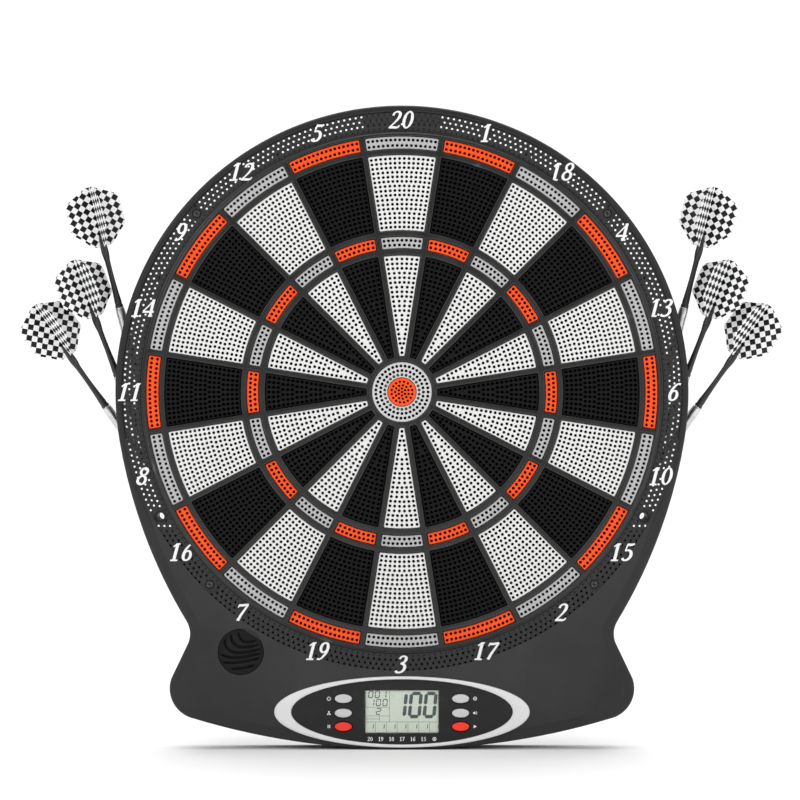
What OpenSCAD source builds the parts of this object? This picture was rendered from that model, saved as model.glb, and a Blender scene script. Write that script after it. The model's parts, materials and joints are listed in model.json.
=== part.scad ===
// Electronic dartboard for soft-tip darts, with six darts stowed in its side holders.
// +Z is up, the playing face looks along -Y and the wall is the plane y = 0.
// The origin is where the axis of the bull meets the wall.
// A depth is a distance in front of the wall, so depth d is the plane y = -d.

/* [Target] */
// Outer radius of the double ring
double_out = 170; // [169:0.5:170]
// Inner radius of the double ring
double_in = 161.8; // [161:0.1:162]
// Outer radius of the outer single
outer_single_out = 157.6; // [156:0.1:158]
// Inner radius of the outer single
outer_single_in = 107.6; // [107:0.1:109]
// Outer radius of the triple ring
triple_out = 103.2; // [102:0.1:104]
// Inner radius of the triple ring
triple_in = 95.6; // [95:0.1:97]
// Outer radius of the inner single
inner_single_out = 90.8; // [89:0.1:91]
// Inner radius of the inner single
inner_single_in = 23.9; // [23.5:0.1:26]
// Radius of the outer bull
bull_r = 20; // [19.5:0.1:20]
// Radius of the inner bull
bull_eye_r = 9.4; // [9:0.1:9.5]
// Distance from a segment's side to the middle of the spider's rib
side_gap = 2.2; // [2:0.05:2.4]
// How far a segment's rear flange reaches past its face
lip = 1; // [0.8:0.05:1]

/* [Housing outline] */
// Outer radius of the rim
rim_r = 191; // [190:0.5:194]
// Inner radius of the rim
rim_in = 187.2; // [186.8:0.1:187.6]
// Angle below horizontal where a flank leaves the rim
flank_start = 14.5; // [13:0.5:16]
// Radius of a flank
flank_r = 400; // [390:5:410]
// Angle at which a flank turns into the waist
flank_end = 30.8; // [30.4:0.1:31.2]
// Radius of the waist
waist_r = 16; // [14:1:18]
// Radius of a foot corner
corner_r = 20.5; // [19:0.5:22]
// Radius of the bottom edge
bottom_r = 482; // [480:1:484]
// Height of the lowest point, below the bull
drop = 238; // [236:1:240]
// Angle of the bottom edge's end, seen from its centre
foot = 73.2; // [73:0.1:73.4]
// Height at which the base opens out behind the ring, below the bull
shoulder = 92.6; // [91:0.1:94]
// Thickness of the housing's side walls
skin = 2.2; // [2:0.1:2.4]

/* [Layers] */
// Depth of the rear cover's outer face
cover_d = 1.5; // [1.3:0.1:1.6]
// Thickness of the rear cover
cover_t = 2; // [1.8:0.1:2]
// Depth of the tray that carries the target
tray_d = 13.5; // [13.4:0.1:13.8]
// Thickness of the backing board
board_t = 2.8; // [2.4:0.1:3]
// Thickness of the sensor film
film_t = 0.5; // [0.4:0.1:0.6]
// Thickness of the rubber mat
mat_t = 2; // [1.8:0.1:2.2]
// Travel of a pressed segment
press = 1.2; // [1:0.1:1.2]
// Depth of the segments' faces
face_d = 30.4; // [30:0.1:30.6]
// Depth of the front of the spider's ribs
spider_d = 31.2; // [31:0.1:31.6]
// Depth of the back of the number ring
ring_d = 26.6; // [26.5:0.1:26.8]
// Thickness of the number ring
ring_t = 2; // [1.8:0.1:2.2]

/* [Control panel] */
// Height of the panel's centre, below the bull
panel_z = 212.8; // [212:0.1:213]
// Half width of the oval trim
trim_a = 85; // [84:0.5:85]
// Half height of the oval trim
trim_b = 23.7; // [23.5:0.1:23.8]
// Half width of the panel inside the trim
panel_a = 73.7; // [73:0.1:74]
// Half height of the panel inside the trim
panel_b = 21.7; // [21.5:0.1:21.8]
// Width of the display window
window_w = 49.8; // [49:0.1:50]
// Height of the display window
window_h = 29.4; // [29:0.1:29.6]
// Distance of the button columns from the middle
button_x = 39; // [38.5:0.1:39.5]
// Half width of a button
button_a = 5.7; // [5.5:0.1:5.8]
// Half height of a button
button_b = 2.9; // [2.8:0.05:3]
// Travel of a button
button_travel = 1; // [0.8:0.1:1]

/* [Speaker and batteries] */
// Speaker's distance to the left of the middle
speaker_x = 107.3; // [107:0.1:108]
// Speaker's height, below the bull
speaker_z = 173; // [172.5:0.1:174]
// Radius of the speaker grille
grille_r = 15.3; // [15:0.1:15.5]
// Length of a battery
cell_l = 50.5; // [50:0.1:50.5]
// Diameter of a battery
cell_d = 14.5; // [14:0.1:14.5]

/* [Darts] */
// Length of the plastic tip
tip_l = 25; // [24:0.5:25]
// Length of the barrel
barrel_l = 48; // [46:1:48]
// Radius of the barrel
barrel_r = 3.2; // [3:0.05:3.2]
// Length of the shaft
shaft_l = 50; // [48:1:50]
// Length of the flight
flight_l = 41; // [40:0.5:41]
// Width of one wing of a flight, from the dart's axis
wing_w = 20; // [19:0.5:20]

/* [Hidden] */
$fn = 96;
NUMBERS = [20, 1, 18, 4, 13, 6, 10, 15, 2, 17, 3, 19, 7, 16, 8, 11, 14, 9, 12, 5];
BUTTONS = ["power", "player", "hold", "game", "sound", "start"];
BODY_NODES = [
    "front_housing", "rear_cover", "catch_ring", "spider", "rubber_mat", "sensor_film", "backing_board",
    "bull_outer", "bull_inner", "control_panel", "oval_trim", "lcd_window", "lcd_module", "main_board",
    "button_mat", "ribbon_cable", "speaker_grille", "speaker", "wires", "battery_door", "batteries",
    "battery_contacts", "dart_holder_left", "dart_holder_right", "hanger_plate", "housing_screws",
    "ring_screws", "wall_pads",
];

// Running clearance between a segment and the spider, and the play of fixed pieces in their seats
play = 0.35;
fit = 0.1;
sector = 18;
// Depths of the stack behind the segments
board_d = tray_d + cover_t;
film_d = board_d + board_t;
mat_d = film_d + film_t;
flange_d = mat_d + mat_t + press;
flange_t = 1.4;
ribs_d = flange_d + flange_t + 0.4;
front_d = ring_d + ring_t + 0.4;
// Radii of the tray and of the drum behind it
tray_in = double_out + lip + 0.4;
tray_r = tray_in + 3;
drum_r = 168;
ring_in = tray_r - 0.2;
// Depth of the rim's back edge, in front of the darts
rim_d = 18;
// Fixing screws of the number ring, and the two wall screws
ring_screw_r = 181;
RING_SCREWS = [41, 139, -45, -135];
wall_screw_r = 2.6;
wall_screw_x = 161;
wall_screw_z = 83;
wall_counterbore_r = 3.7;
// Screws that hold the rear cover: round the tray by angle, and in the base by place
TRAY_SCREWS = [25, 62, 118, 155, -58, -122];
BASE_SCREWS = [[152, -112], [-152, -112], [137, -199], [-137, -199]];
tray_screw_r = tray_r + 2.4;
// Hanger plate and the middle of its keyhole's head
hanger_w = 52;
hanger_t = 1.5;
keyhole_z = 176;
// Battery bay
bay_x0 = 68;
bay_x1 = bay_x0 + cell_l + 2.9;
bay_z1 = -164.5;
bay_z0 = bay_z1 - 3 * cell_d - 7.6;
bay_d = 18.8;
door_axis_z = bay_z1 - 1.1;
// Row of cells, one above the other
cell_z0 = bay_z0 + 1 + cell_d / 2;
cell_pitch = cell_d + 0.1;
nub_l = 1.3;
spring_l = 2.3;
// Printed circuit board
pcb_d = 16;
pcb_t = 1.6;
pcb_z0 = -230;
pcb_z1 = -188;
PCB_SCREWS = [[-56, -191.5], [56, -191.5], [-56, -226.5], [56, -226.5]];
// Heights of a column of buttons, from the panel's centre
BUTTON_Z = [8.9, -0.7, -9.7];
// Each side's darts: tip's place outboard and above the bull, its depth, lean, tilt off the wall
DARTS = [
    [171.4, -13.9, 9.5, 14.3, 3.7],
    [164.6, -57.2, 10.5, 21, 2.6],
    [156.9, -69.4, 5.5, 35, 5.4],
];
ROLL_LEFT = [30, 45, 32];
ROLL_RIGHT = [-43, -46, -45];
seam = 0.05;
socket_l = 18;
socket_r = 2.9;

BLACK = [0.12, 0.12, 0.125];
CHARCOAL = [0.22, 0.22, 0.225];
ORANGE = [1, 0.36, 0.12];
SILVER = [0.75, 0.75, 0.77];

// ---- Shared shapes ----

// Extrudes a drawing of the face (x to the right, y up) from one depth to another
module slab(from, to) {
    translate([0, -from, 0])
        rotate([90, 0, 0])
            linear_extrude(to - from)
                children();
}

module post(x, z, r, from, to) {
    translate([x, -from, z])
        rotate([90, 0, 0])
            cylinder(r = r, h = to - from);
}

module tube(r_out, r_in, from, to) {
    difference() {
        post(0, 0, r_out, from, to);
        post(0, 0, r_in, from - 1, to + 1);
    }
}

module ring(r_out, r_in) {
    difference() {
        circle(r = r_out);
        circle(r = r_in);
    }
}

module block(x0, x1, z0, z1, from, to) {
    translate([x0, -to, z0])
        cube([x1 - x0, to - from, z1 - z0]);
}

// Turns a shape drawn along +X to an angle on the face
module at_angle(a) {
    rotate([0, -a, 0])
        children();
}

module oval(a, b, from, to) {
    translate([0, 0, -panel_z])
        slab(from, to)
            scale([a, b])
                circle(r = 1);
}

function arc(c, r, from, to, n) =
    [for (i = [0:n]) c + r * [cos(from + (to - from) * i / n), sin(from + (to - from) * i / n)]];

// Centres and tangent angle of the arcs that make one side of the base
flank_c = (flank_r - rim_r) * [-cos(flank_start), sin(flank_start)];
waist_c = flank_c + (flank_r + waist_r) * [cos(flank_end), -sin(flank_end)];
bottom_c = [0, bottom_r - drop];
corner_c = bottom_c + (bottom_r - corner_r) * [cos(foot), -sin(foot)];
reach = corner_c - waist_c;
flare = 360 + atan2(reach[1], reach[0]) - acos((waist_r + corner_r) / norm(reach));

function side(inset) = concat(
    arc(flank_c, flank_r - inset, -flank_start, -flank_end, 10),
    arc(waist_c, waist_r + inset, 180 - flank_end, flare, 8),
    arc(corner_c, corner_r - inset, flare - 180, -foot, 12),
    arc(bottom_c, bottom_r - inset, -foot, -90, 8)
);

// Outline of the base, up to where its flanks leave the rim
module apron(inset = 0) {
    right = side(inset);
    last = len(right) - 1;
    polygon(concat(right, [for (i = [1:last]) [-right[last - i][0], right[last - i][1]]]));
}

module below_shoulder() {
    translate([-250, -300])
        square([500, 300 - shoulder]);
}

module base_outline(inset = 0) {
    intersection() {
        apron(inset);
        below_shoulder();
    }
}

// ---- Target ----

// One wedge of the face, its sides moved out by grow
module wedge(grow) {
    apex = (side_gap - grow) / sin(sector / 2);
    far = 200;
    polygon([[0, apex], [far * tan(sector / 2), apex + far], [-far * tan(sector / 2), apex + far]]);
}

module wedge_ring(r_in, r_out, grow, from, to) {
    slab(from, to)
        intersection() {
            ring(r_out, r_in);
            wedge(grow);
        }
}

module segment(r_in, r_out) {
    wedge_ring(r_in, r_out, 0, flange_d, face_d);
    wedge_ring(r_in - lip, r_out + lip, lip, flange_d, flange_d + flange_t);
}

// The four separate segments of one number: double, outer single, triple and inner single
module sector_segments(i) {
    dark = i % 2 == 1;
    rotate([0, sector * i, 0]) {
        color(dark ? ORANGE : "gray") {
            segment(double_in, double_out);
            segment(triple_in, triple_out);
        }
        color(dark ? BLACK : "white") {
            segment(outer_single_in, outer_single_out);
            segment(inner_single_in, inner_single_out);
        }
    }
}

module bull_outer() {
    color("gray")
        difference() {
            union() {
                post(0, 0, bull_r, flange_d, face_d);
                post(0, 0, bull_r + lip, flange_d, flange_d + flange_t);
            }
            post(0, 0, bull_eye_r + 0.4, flange_d - 1, face_d + 1);
            post(0, 0, bull_eye_r + 2.2, flange_d - 1, flange_d + flange_t + press + 0.6);
        }
}

module bull_inner() {
    color(ORANGE) {
        post(0, 0, bull_eye_r, flange_d, face_d);
        post(0, 0, bull_eye_r + 1.8, flange_d, flange_d + flange_t);
    }
}

// Frame of ribs that the segments look through, with the skirt that holds the layers behind
module spider() {
    RIBS = [
        [bull_r + play, inner_single_in - play],
        [inner_single_out + play, triple_in - play],
        [triple_out + play, outer_single_in - play],
        [outer_single_out + play, double_in - play],
    ];
    half = side_gap - play;
    color(CHARCOAL) {
        slab(ribs_d, spider_d) {
            for (rib = RIBS)
                ring(rib[1], rib[0]);
            for (k = [0:19])
                rotate(sector * (k + 0.5))
                    translate([bull_r + 1, -half])
                        square([double_out - bull_r, 2 * half]);
        }
        slab(ribs_d, face_d)
            ring(ring_in - 0.2, double_out + play);
        spider_skirt();
    }
}

// Skirt round the layers, with an ear for each tray screw and a notch for the ribbon
module spider_skirt() {
    difference() {
        slab(board_d, ribs_d + 1)
            difference() {
                union() {
                    circle(r = tray_r);
                    for (a = TRAY_SCREWS)
                        rotate(a)
                            translate([tray_screw_r, 0])
                                circle(r = 3.2);
                }
                circle(r = tray_in);
            }
        for (a = TRAY_SCREWS)
            at_angle(a)
                post(tray_screw_r, 0, 1.25, board_d - 1, board_d + 7);
        block(-13, 13, -tray_r - 1, 3 - tray_in, board_d - 1, film_d + 2.7);
    }
}

module rubber_mat() {
    color("dimgray")
        post(0, 0, tray_in - 0.4, mat_d, mat_d + mat_t);
}

// Contact film, cut off flat below, where its tail leaves it
module sensor_film() {
    color("khaki")
        difference() {
            post(0, 0, tray_in - 0.4, film_d, film_d + film_t);
            block(-60, 60, -tray_r, 2 - double_out, film_d - 1, film_d + film_t + 1);
        }
}

module backing_board() {
    color("peru")
        post(0, 0, tray_in - 0.4, board_d, board_d + board_t);
}

// ---- Casings ----

module number_ring_screw_holes(r, from, to) {
    for (a = RING_SCREWS)
        at_angle(a)
            post(ring_screw_r, 0, r, from, to);
}

module wall_screw_posts(r, from, to) {
    for (x = [-wall_screw_x, wall_screw_x])
        post(x, -wall_screw_z, r, from, to);
}

module catch_ring() {
    back = ring_d;
    front = ring_d + ring_t;
    color(BLACK)
        difference() {
            union() {
                tube(rim_in - fit, ring_in, back, front);
                tube(ring_in + 1.6, ring_in, front - 1, face_d);
            }
            number_ring_screw_holes(1.6, back - 1, front + 1);
            number_ring_screw_holes(2.8, front - 1.1, front + 1);
            wall_screw_posts(wall_counterbore_r, back - 1, front + 1);
        }
}

module front_housing() {
    color(CHARCOAL)
        difference() {
            union() {
                tube(rim_r, rim_in, rim_d, front_d + 0.6);
                slab(ring_d, front_d)
                    difference() {
                        apron();
                        circle(r = rim_in);
                    }
                housing_walls();
                for (a = RING_SCREWS)
                    at_angle(a)
                        block(ring_screw_r - 4.5, rim_in + 0.8, -4.5, 4.5, ring_d - 2.6, ring_d - fit);
                for (p = BASE_SCREWS)
                    post(p[0], p[1], 3.6, cover_d + cover_t + fit, ring_d + 0.4);
                post(-speaker_x, -speaker_z, grille_r + 2.2, 21.5, ring_d + 0.4);
            }
            number_ring_screw_holes(1.6, 15, 35);
            block(-14, 14, -rim_r - 1, 1 - rim_in, rim_d - 1, 21);
            for (p = BASE_SCREWS)
                post(p[0], p[1], 1.25, 0, 16);
            block(bay_x0 - 1.6, bay_x1 + 1.6, bay_z0, bay_z1 + 1.6, rim_d - 1, bay_d + 1.5);
            oval(trim_a - 2.4, trim_b - 1.2, 20, 35);
            oval(trim_a + fit, trim_b + fit, front_d, 35);
            post(-speaker_x, -speaker_z, grille_r + fit, 20, 35);
        }
}

// Side walls of the base, the thinner ones of the flanks above it, and the wall across the shoulder
module housing_walls() {
    back = cover_d + cover_t + fit;
    slab(back, ring_d + 1)
        difference() {
            base_outline();
            apron(skin);
        }
    slab(rim_d, ring_d + 1)
        difference() {
            apron();
            apron(skin);
            circle(r = rim_in);
        }
    difference() {
        slab(back, ring_d - fit)
            intersection() {
                apron();
                translate([-200, -shoulder - skin])
                    square([400, skin]);
            }
        post(0, 0, drum_r + 0.4, 0, tray_d + 1);
        post(0, 0, tray_r + 0.4, tray_d - 0.3, 35);
    }
}

module rear_cover() {
    color(BLACK) {
        cover_shell();
        battery_bay();
    }
}

module cover_shell() {
    inner = cover_d + cover_t;
    difference() {
        union() {
            slab(cover_d, inner) {
                circle(r = drum_r);
                base_outline();
            }
            tube(drum_r, drum_r - skin, cover_d, tray_d + 1);
            tube(tray_r, drum_r - 5, tray_d, board_d);
            cover_screw_posts();
            hanger_studs(1.9, cover_d + 1, cover_d + cover_t + hanger_t + 0.8);
            for (p = PCB_SCREWS)
                post(p[0], p[1], 2.6, cover_d + 1, pcb_d);
        }
        number_ring_screw_holes(1.45, 12, 30);
        wall_screw_posts(wall_screw_r, -1, 30);
        wall_screw_posts(wall_counterbore_r, 5, 30);
        cover_screw_holes();
        block(bay_x0, bay_x1, bay_z0, bay_z1, 0, bay_d);
        block(-13, 13, -drum_r - 1, -drum_r + 6, tray_d - 4, tray_d + 1);
        block(-hanger_w / 2 - fit, hanger_w / 2 + fit, drum_r - 12, drum_r + 1, cover_d + cover_t - 0.2,
            cover_d + cover_t + hanger_t + 0.2);
    }
}

// Posts for the ring screws and wall screws, with webs to the drum, and the tray's screw ears
module cover_screw_posts() {
    for (a = RING_SCREWS)
        at_angle(a) {
            post(ring_screw_r, 0, 4.2, cover_d, ring_d - 2.7);
            block(drum_r - 1, ring_screw_r, -2, 2, cover_d, tray_d - 0.4);
        }
    wall_screw_posts(5.5, 0, ring_d - fit);
    for (a = [atan2(-wall_screw_z, wall_screw_x), 180 - atan2(-wall_screw_z, wall_screw_x)])
        at_angle(a)
            block(drum_r - 1, norm([wall_screw_x, wall_screw_z]) - 4, -2, 2, cover_d, tray_d - 0.4);
    for (a = TRAY_SCREWS)
        at_angle(a)
            difference() {
                post(tray_screw_r, 0, 3.2, tray_d - 2, board_d);
                post(0, 0, drum_r - 1, 0, 30);
            }
}

module cover_screw_holes() {
    for (a = TRAY_SCREWS)
        at_angle(a) {
            post(tray_screw_r, 0, 1.5, -1, 30);
            post(tray_screw_r, 0, 3, -1, tray_d - 2);
        }
    for (p = BASE_SCREWS) {
        post(p[0], p[1], 1.5, 0, 10);
        post(p[0], p[1], 2.8, 0, cover_d + 1);
    }
    for (p = PCB_SCREWS)
        post(p[0], p[1], 1.25, pcb_d - 9, pcb_d + 1);
}

// Steel plate with a keyhole, behind the top of the ring, held inside the drum on two studs
module hanger_plate() {
    from = cover_d + cover_t;
    color(BLACK)
        difference() {
            block(-hanger_w / 2, hanger_w / 2, drum_r - 20, rim_in + 1.8, from, from + hanger_t);
            post(0, keyhole_z, 4.5, 0, 9);
            post(0, keyhole_z + 7, 2.3, 0, 9);
            block(-2.3, 2.3, keyhole_z, keyhole_z + 7, 0, 9);
            hanger_studs(2, 0, 9);
        }
}

module hanger_studs(r, from, to) {
    for (x = [-18, 18])
        post(x, drum_r - 13, r, from, to);
}

// Walls and floor of the bay, with slots for the door's hinge tabs
module battery_bay() {
    wall = 1.2;
    from = cover_d + cover_t - 0.5;
    slot_d = cover_d + cover_t;
    difference() {
        block(bay_x0 - wall, bay_x1 + wall, bay_z0 - wall, bay_z1 + wall, from, bay_d + wall);
        block(bay_x0, bay_x1, bay_z0, bay_z1, 0, bay_d);
        for (x = [bay_x0 + 8, bay_x1 - 14])
            block(x, x + 6, bay_z1 - 1, bay_z1 + 3, slot_d, slot_d + 4);
    }
}

module housing_screws() {
    color(SILVER) {
        for (a = TRAY_SCREWS)
            at_angle(a) {
                post(tray_screw_r, 0, 2.4, tray_d - 4, tray_d - 2);
                post(tray_screw_r, 0, 1.2, tray_d - 2, board_d + 6);
            }
        for (p = BASE_SCREWS) {
            post(p[0], p[1], 2.5, cover_d - 0.7, cover_d + 1);
            post(p[0], p[1], 1.2, cover_d + 1, 14);
        }
        for (p = PCB_SCREWS) {
            post(p[0], p[1], 2.4, pcb_d + pcb_t, pcb_d + pcb_t + 1.5);
            post(p[0], p[1], 1.2, pcb_d - 7, pcb_d + pcb_t);
        }
    }
}

module ring_screws() {
    color(SILVER)
        for (a = RING_SCREWS)
            at_angle(a) {
                post(ring_screw_r, 0, 2.5, ring_d + ring_t - 1.1, ring_d + ring_t + 0.5);
                post(ring_screw_r, 0, 1.4, 14, ring_d + ring_t - 1.1);
            }
}

module wall_pads() {
    color("dimgray") {
        post(0, 0, 12, 0, cover_d);
        for (a = [50, 130])
            at_angle(a)
                post(150, 0, 8, 0, cover_d);
        for (x = [-55, 55])
            post(x, -222, 6, 0, cover_d);
    }
}

// ---- Controls ----

module oval_trim() {
    color("gainsboro")
        difference() {
            union() {
                oval(trim_a, trim_b, front_d + 0.05, 31);
                oval(trim_a - 2.6, trim_b - 1.4, 24.8, front_d + 0.1);
            }
            oval(panel_a, panel_b, 27.1, 35);
            oval(panel_a - 3.5, panel_b - 2.4, 20, 35);
        }
}

module control_panel() {
    color(BLACK)
        difference() {
            oval(panel_a - fit, panel_b - fit, 27.2, 29.6);
            block(-window_w / 2, window_w / 2, -panel_z - window_h / 2, -panel_z + window_h / 2, 20, 35);
            for (x = [-button_x, button_x], z = BUTTON_Z)
                button_oval(x, z, 0.35, 20, 35);
        }
}

module button_oval(x, z, grow, from, to) {
    translate([x, 0, z - panel_z])
        slab(from, to)
            scale([button_a + grow, button_b + grow])
                circle(r = 1);
}

module button(i) {
    x = i < 3 ? -button_x : button_x;
    z = BUTTON_Z[i % 3];
    color(i % 3 == 2 ? ORANGE : "gainsboro") {
        button_oval(x, z, 0, 25.7, 31.4);
        button_oval(x, z, 1.2, 25.4, 26.6);
        post(x, z - panel_z, 1.6, pcb_d + pcb_t + 2.8 + button_travel, 25.4);
    }
}

// Silicone strips with a dome under each button
module button_mat() {
    back = pcb_d + pcb_t;
    color("lightgray")
        for (x = [-button_x, button_x]) {
            block(x - 8, x + 8, -panel_z - 15, -panel_z + 14, back, back + 1.4);
            for (z = BUTTON_Z)
                post(x, z - panel_z, 2.6, back + 1.4, back + 2.7);
        }
}

module lcd_window() {
    color("lightblue", 0.4)
        block(fit - window_w / 2, window_w / 2 - fit, fit - panel_z - window_h / 2,
            window_h / 2 - panel_z - fit, 27.9, 29.4);
}

module lcd_module() {
    color([0.62, 0.68, 0.62]) {
        block(-30, 30, -panel_z - 16.6, -panel_z + 16.6, pcb_d + pcb_t, 24.6);
        block(-24.4, 24.4, -panel_z - 14.2, -panel_z + 14.2, 24.6, 27.6);
    }
}

module main_board() {
    color("darkgreen")
        difference() {
            block(-60, 60, pcb_z0, pcb_z1, pcb_d, pcb_d + pcb_t);
            for (p = PCB_SCREWS)
                post(p[0], p[1], 1.4, pcb_d - 1, pcb_d + pcb_t + 1);
        }
    color(BLACK)
        block(-14, 14, pcb_z1 - 18, pcb_z1 - 6, pcb_d - 2, pcb_d);
}

// Flat tail of the sensor film, stepping down onto the circuit board
module ribbon_cable() {
    z0 = 2 - double_out;
    land_d = pcb_d + pcb_t;
    color("orange")
        translate([12, 0, 0])
            rotate([0, -90, 0])
                linear_extrude(24)
                    polygon([
                        [z0, -film_d],
                        [z0 - 14, -film_d],
                        [z0 - 20, -land_d],
                        [z0 - 28, -land_d],
                        [z0 - 28, -land_d - film_t],
                        [z0 - 20, -land_d - film_t],
                        [z0 - 14, -film_d - film_t],
                        [z0, -film_d - film_t],
                    ]);
}

// ---- Sound and power ----

// One wavy slot across the grille, its middle at the given height
module grille_slot(z) {
    half = 0.7;
    wave = 1.6;
    steps = 12;
    reach = sqrt(pow(grille_r - 2.2, 2) - z * z);
    function along(i) = -reach + 2 * reach * i / steps;
    function height(x) = z + wave * sin(6 * x);
    polygon(concat(
        [for (i = [0:steps]) [along(i), height(along(i)) - half]],
        [for (i = [steps:-1:0]) [along(i), height(along(i)) + half]]
    ));
}

module speaker_grille() {
    color(BLACK)
        difference() {
            post(-speaker_x, -speaker_z, grille_r, ring_d - 0.2, front_d - 0.4);
            translate([-speaker_x, 0, -speaker_z])
                slab(20, 35)
                    for (i = [-3:3])
                        grille_slot(3.4 * i);
        }
}

module speaker() {
    color("silver") {
        post(-speaker_x, -speaker_z, grille_r - fit, 22.4, ring_d - 0.3);
        post(-speaker_x, -speaker_z, 10.5, 18.5, 22.4);
        post(-speaker_x, -speaker_z, 8, 13.5, 18.5);
    }
}

// Round lead swept along its route, with eight sides
module lead(route, r) {
    sides = 8;
    last = len(route) - 1;
    function heading(i) = route[min(i + 1, last)] - route[max(i - 1, 0)];
    function unit(v) = v / norm(v);
    rings = [for (i = [0:last])
        let (t = unit(heading(i)), u = unit(cross(t, [0, 0, 1])), v = cross(t, u))
        for (k = [0:sides - 1]) route[i] + r * (cos(360 * k / sides) * u + sin(360 * k / sides) * v)];
    walls = [for (i = [0:last - 1], k = [0:sides - 1])
        let (a = i * sides + k, b = i * sides + (k + 1) % sides)
        [a, a + sides, b + sides, b]];
    caps = [[for (k = [0:sides - 1]) k], [for (k = [sides - 1:-1:0]) last * sides + k]];
    polyhedron(points = rings, faces = concat(walls, caps));
}

// Leads of the speaker and of the batteries, to the circuit board
module wires() {
    color("red") {
        lead([[-99.1, -16, -176.2], [-90, -15, -180], [-80, -13, -184], [-70, -12, -189], [-62, -13, -194],
            [-57, -15.3, -198]], 0.7);
        lead([[-99.8, -14.6, -178.2], [-90, -12.5, -183], [-80, -10.5, -187.5], [-70, -10, -193],
            [-62, -12, -198], [-57, -15.3, -202]], 0.7);
    }
    color("black") {
        lead([[66.6, -11, -204], [63, -11, -205], [59, -12, -206], [55, -15.2, -207]], 0.7);
        lead([[66.6, -11, -210], [63, -11, -211], [59, -12, -212], [55, -15.2, -213]], 0.7);
    }
}

// Round bar along the bay, on the axis of one of its cells
module across(x, i, r, l) {
    translate([x, -cover_d - cover_t - 0.5 - cell_d / 2, cell_z0 + i * cell_pitch])
        rotate([0, 90, 0])
            cylinder(r = r, h = l);
}

module batteries() {
    body_l = cell_l - nub_l - 0.3;
    color("goldenrod")
        for (i = [0:2]) {
            flip = i % 2 == 1;
            x0 = bay_x0 + (flip ? 0.5 + nub_l : 0.4 + spring_l);
            across(x0, i, cell_d / 2, body_l);
            across(flip ? x0 - nub_l : x0 + body_l, i, 2.7, nub_l);
        }
}

// Contact plates at both ends of each cell, and a spring at its negative end, drawn solid
module battery_contacts() {
    plate_t = 0.3;
    color(SILVER)
        for (i = [0:2]) {
            z = cell_z0 + i * cell_pitch;
            for (x = [bay_x0 + 0.05, bay_x1 - 0.05 - plate_t])
                block(x, x + plate_t, z - 5, z + 5, 6, 16);
            across(i % 2 == 1 ? bay_x1 - 0.35 - spring_l : bay_x0 + 0.35, i, 3, spring_l);
        }
}

// Door of the battery bay: two hooked tabs on round knuckles at its top edge, a tongue at its bottom
module battery_door() {
    inner = cover_d + 1.8;
    color(BLACK) {
        block(bay_x0 + 0.4, bay_x1 - 0.4, bay_z0 + 0.5, door_axis_z + 0.3, cover_d, inner);
        for (x = [bay_x0 + 8.5, bay_x1 - 13.5]) {
            block(x, x + 5, door_axis_z - 1.2, door_axis_z + 0.3, inner, inner + 1.7);
            block(x, x + 5, door_axis_z - 1.2, door_axis_z + 3, inner + 0.6, inner + 1.7);
            translate([x, -cover_d - 0.9, door_axis_z])
                rotate([0, 90, 0])
                    cylinder(r = 0.85, h = 5);
        }
        block(bay_x0 + 21, bay_x1 - 21, bay_z0 + 0.5, bay_z0 + 1.7, inner, inner + 2.6);
    }
}

// ---- Darts ----

// Places a shape drawn along +Z, with the tip's point at the origin, in its holder
module in_holder(i, mirrored) {
    d = DARTS[i];
    sign = mirrored ? -1 : 1;
    translate([sign * d[0], -d[2], d[1]])
        rotate([d[4], sign * d[3], 0])
            children();
}

module dart(i, left) {
    roll = left ? ROLL_LEFT[i] : ROLL_RIGHT[i];
    shaft_z = tip_l + barrel_l;
    flight_z = shaft_z + shaft_l - 8;
    in_holder(i, left) {
        color(BLACK)
            rotate_extrude()
                polygon([
                    [0, 0], [0.5, 0], [0.8, 1], [1.2, 12], [1.3, 20], [2.3, tip_l - 2], [2.3, tip_l], [0, tip_l],
                ]);
        color(SILVER)
            rotate_extrude()
                polygon([
                    [0, tip_l + seam], [2.4, tip_l + seam], [barrel_r, tip_l + 7], [barrel_r, shaft_z - 3],
                    [2.9, shaft_z], [0, shaft_z],
                ]);
        color(BLACK)
            rotate_extrude()
                polygon([
                    [0, shaft_z + seam], [2.7, shaft_z + seam], [1.7, shaft_z + 18], [1.8, shaft_z + 32],
                    [2.5, shaft_z + 38], [1.6, shaft_z + shaft_l], [0, shaft_z + shaft_l],
                ]);
        color("white")
            rotate([0, 0, roll])
                flight(flight_z, shaft_z + shaft_l);
    }
}

// Four thin wings, joined above the shaft's end and slit round it below
module flight(z0, z_shaft) {
    half = 0.25;
    top = z0 + flight_l;
    WING = [
        [0, z0], [4, z0], [8, z0 + 2.5], [17.5, z0 + 13], [wing_w - 0.5, z0 + 17], [wing_w, z0 + 21],
        [wing_w, z0 + 28], [wing_w - 2, z0 + 33], [13, z0 + 37], [6, top - 0.8], [0, top],
    ];
    difference() {
        for (a = [0, 90, 180, 270])
            rotate([90, 0, a])
                translate([0, 0, -half])
                    linear_extrude(2 * half)
                        polygon(WING);
        translate([0, 0, z0 - 1])
            cylinder(r = 2.6, h = z_shaft - z0 + 1 + seam);
    }
}

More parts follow.
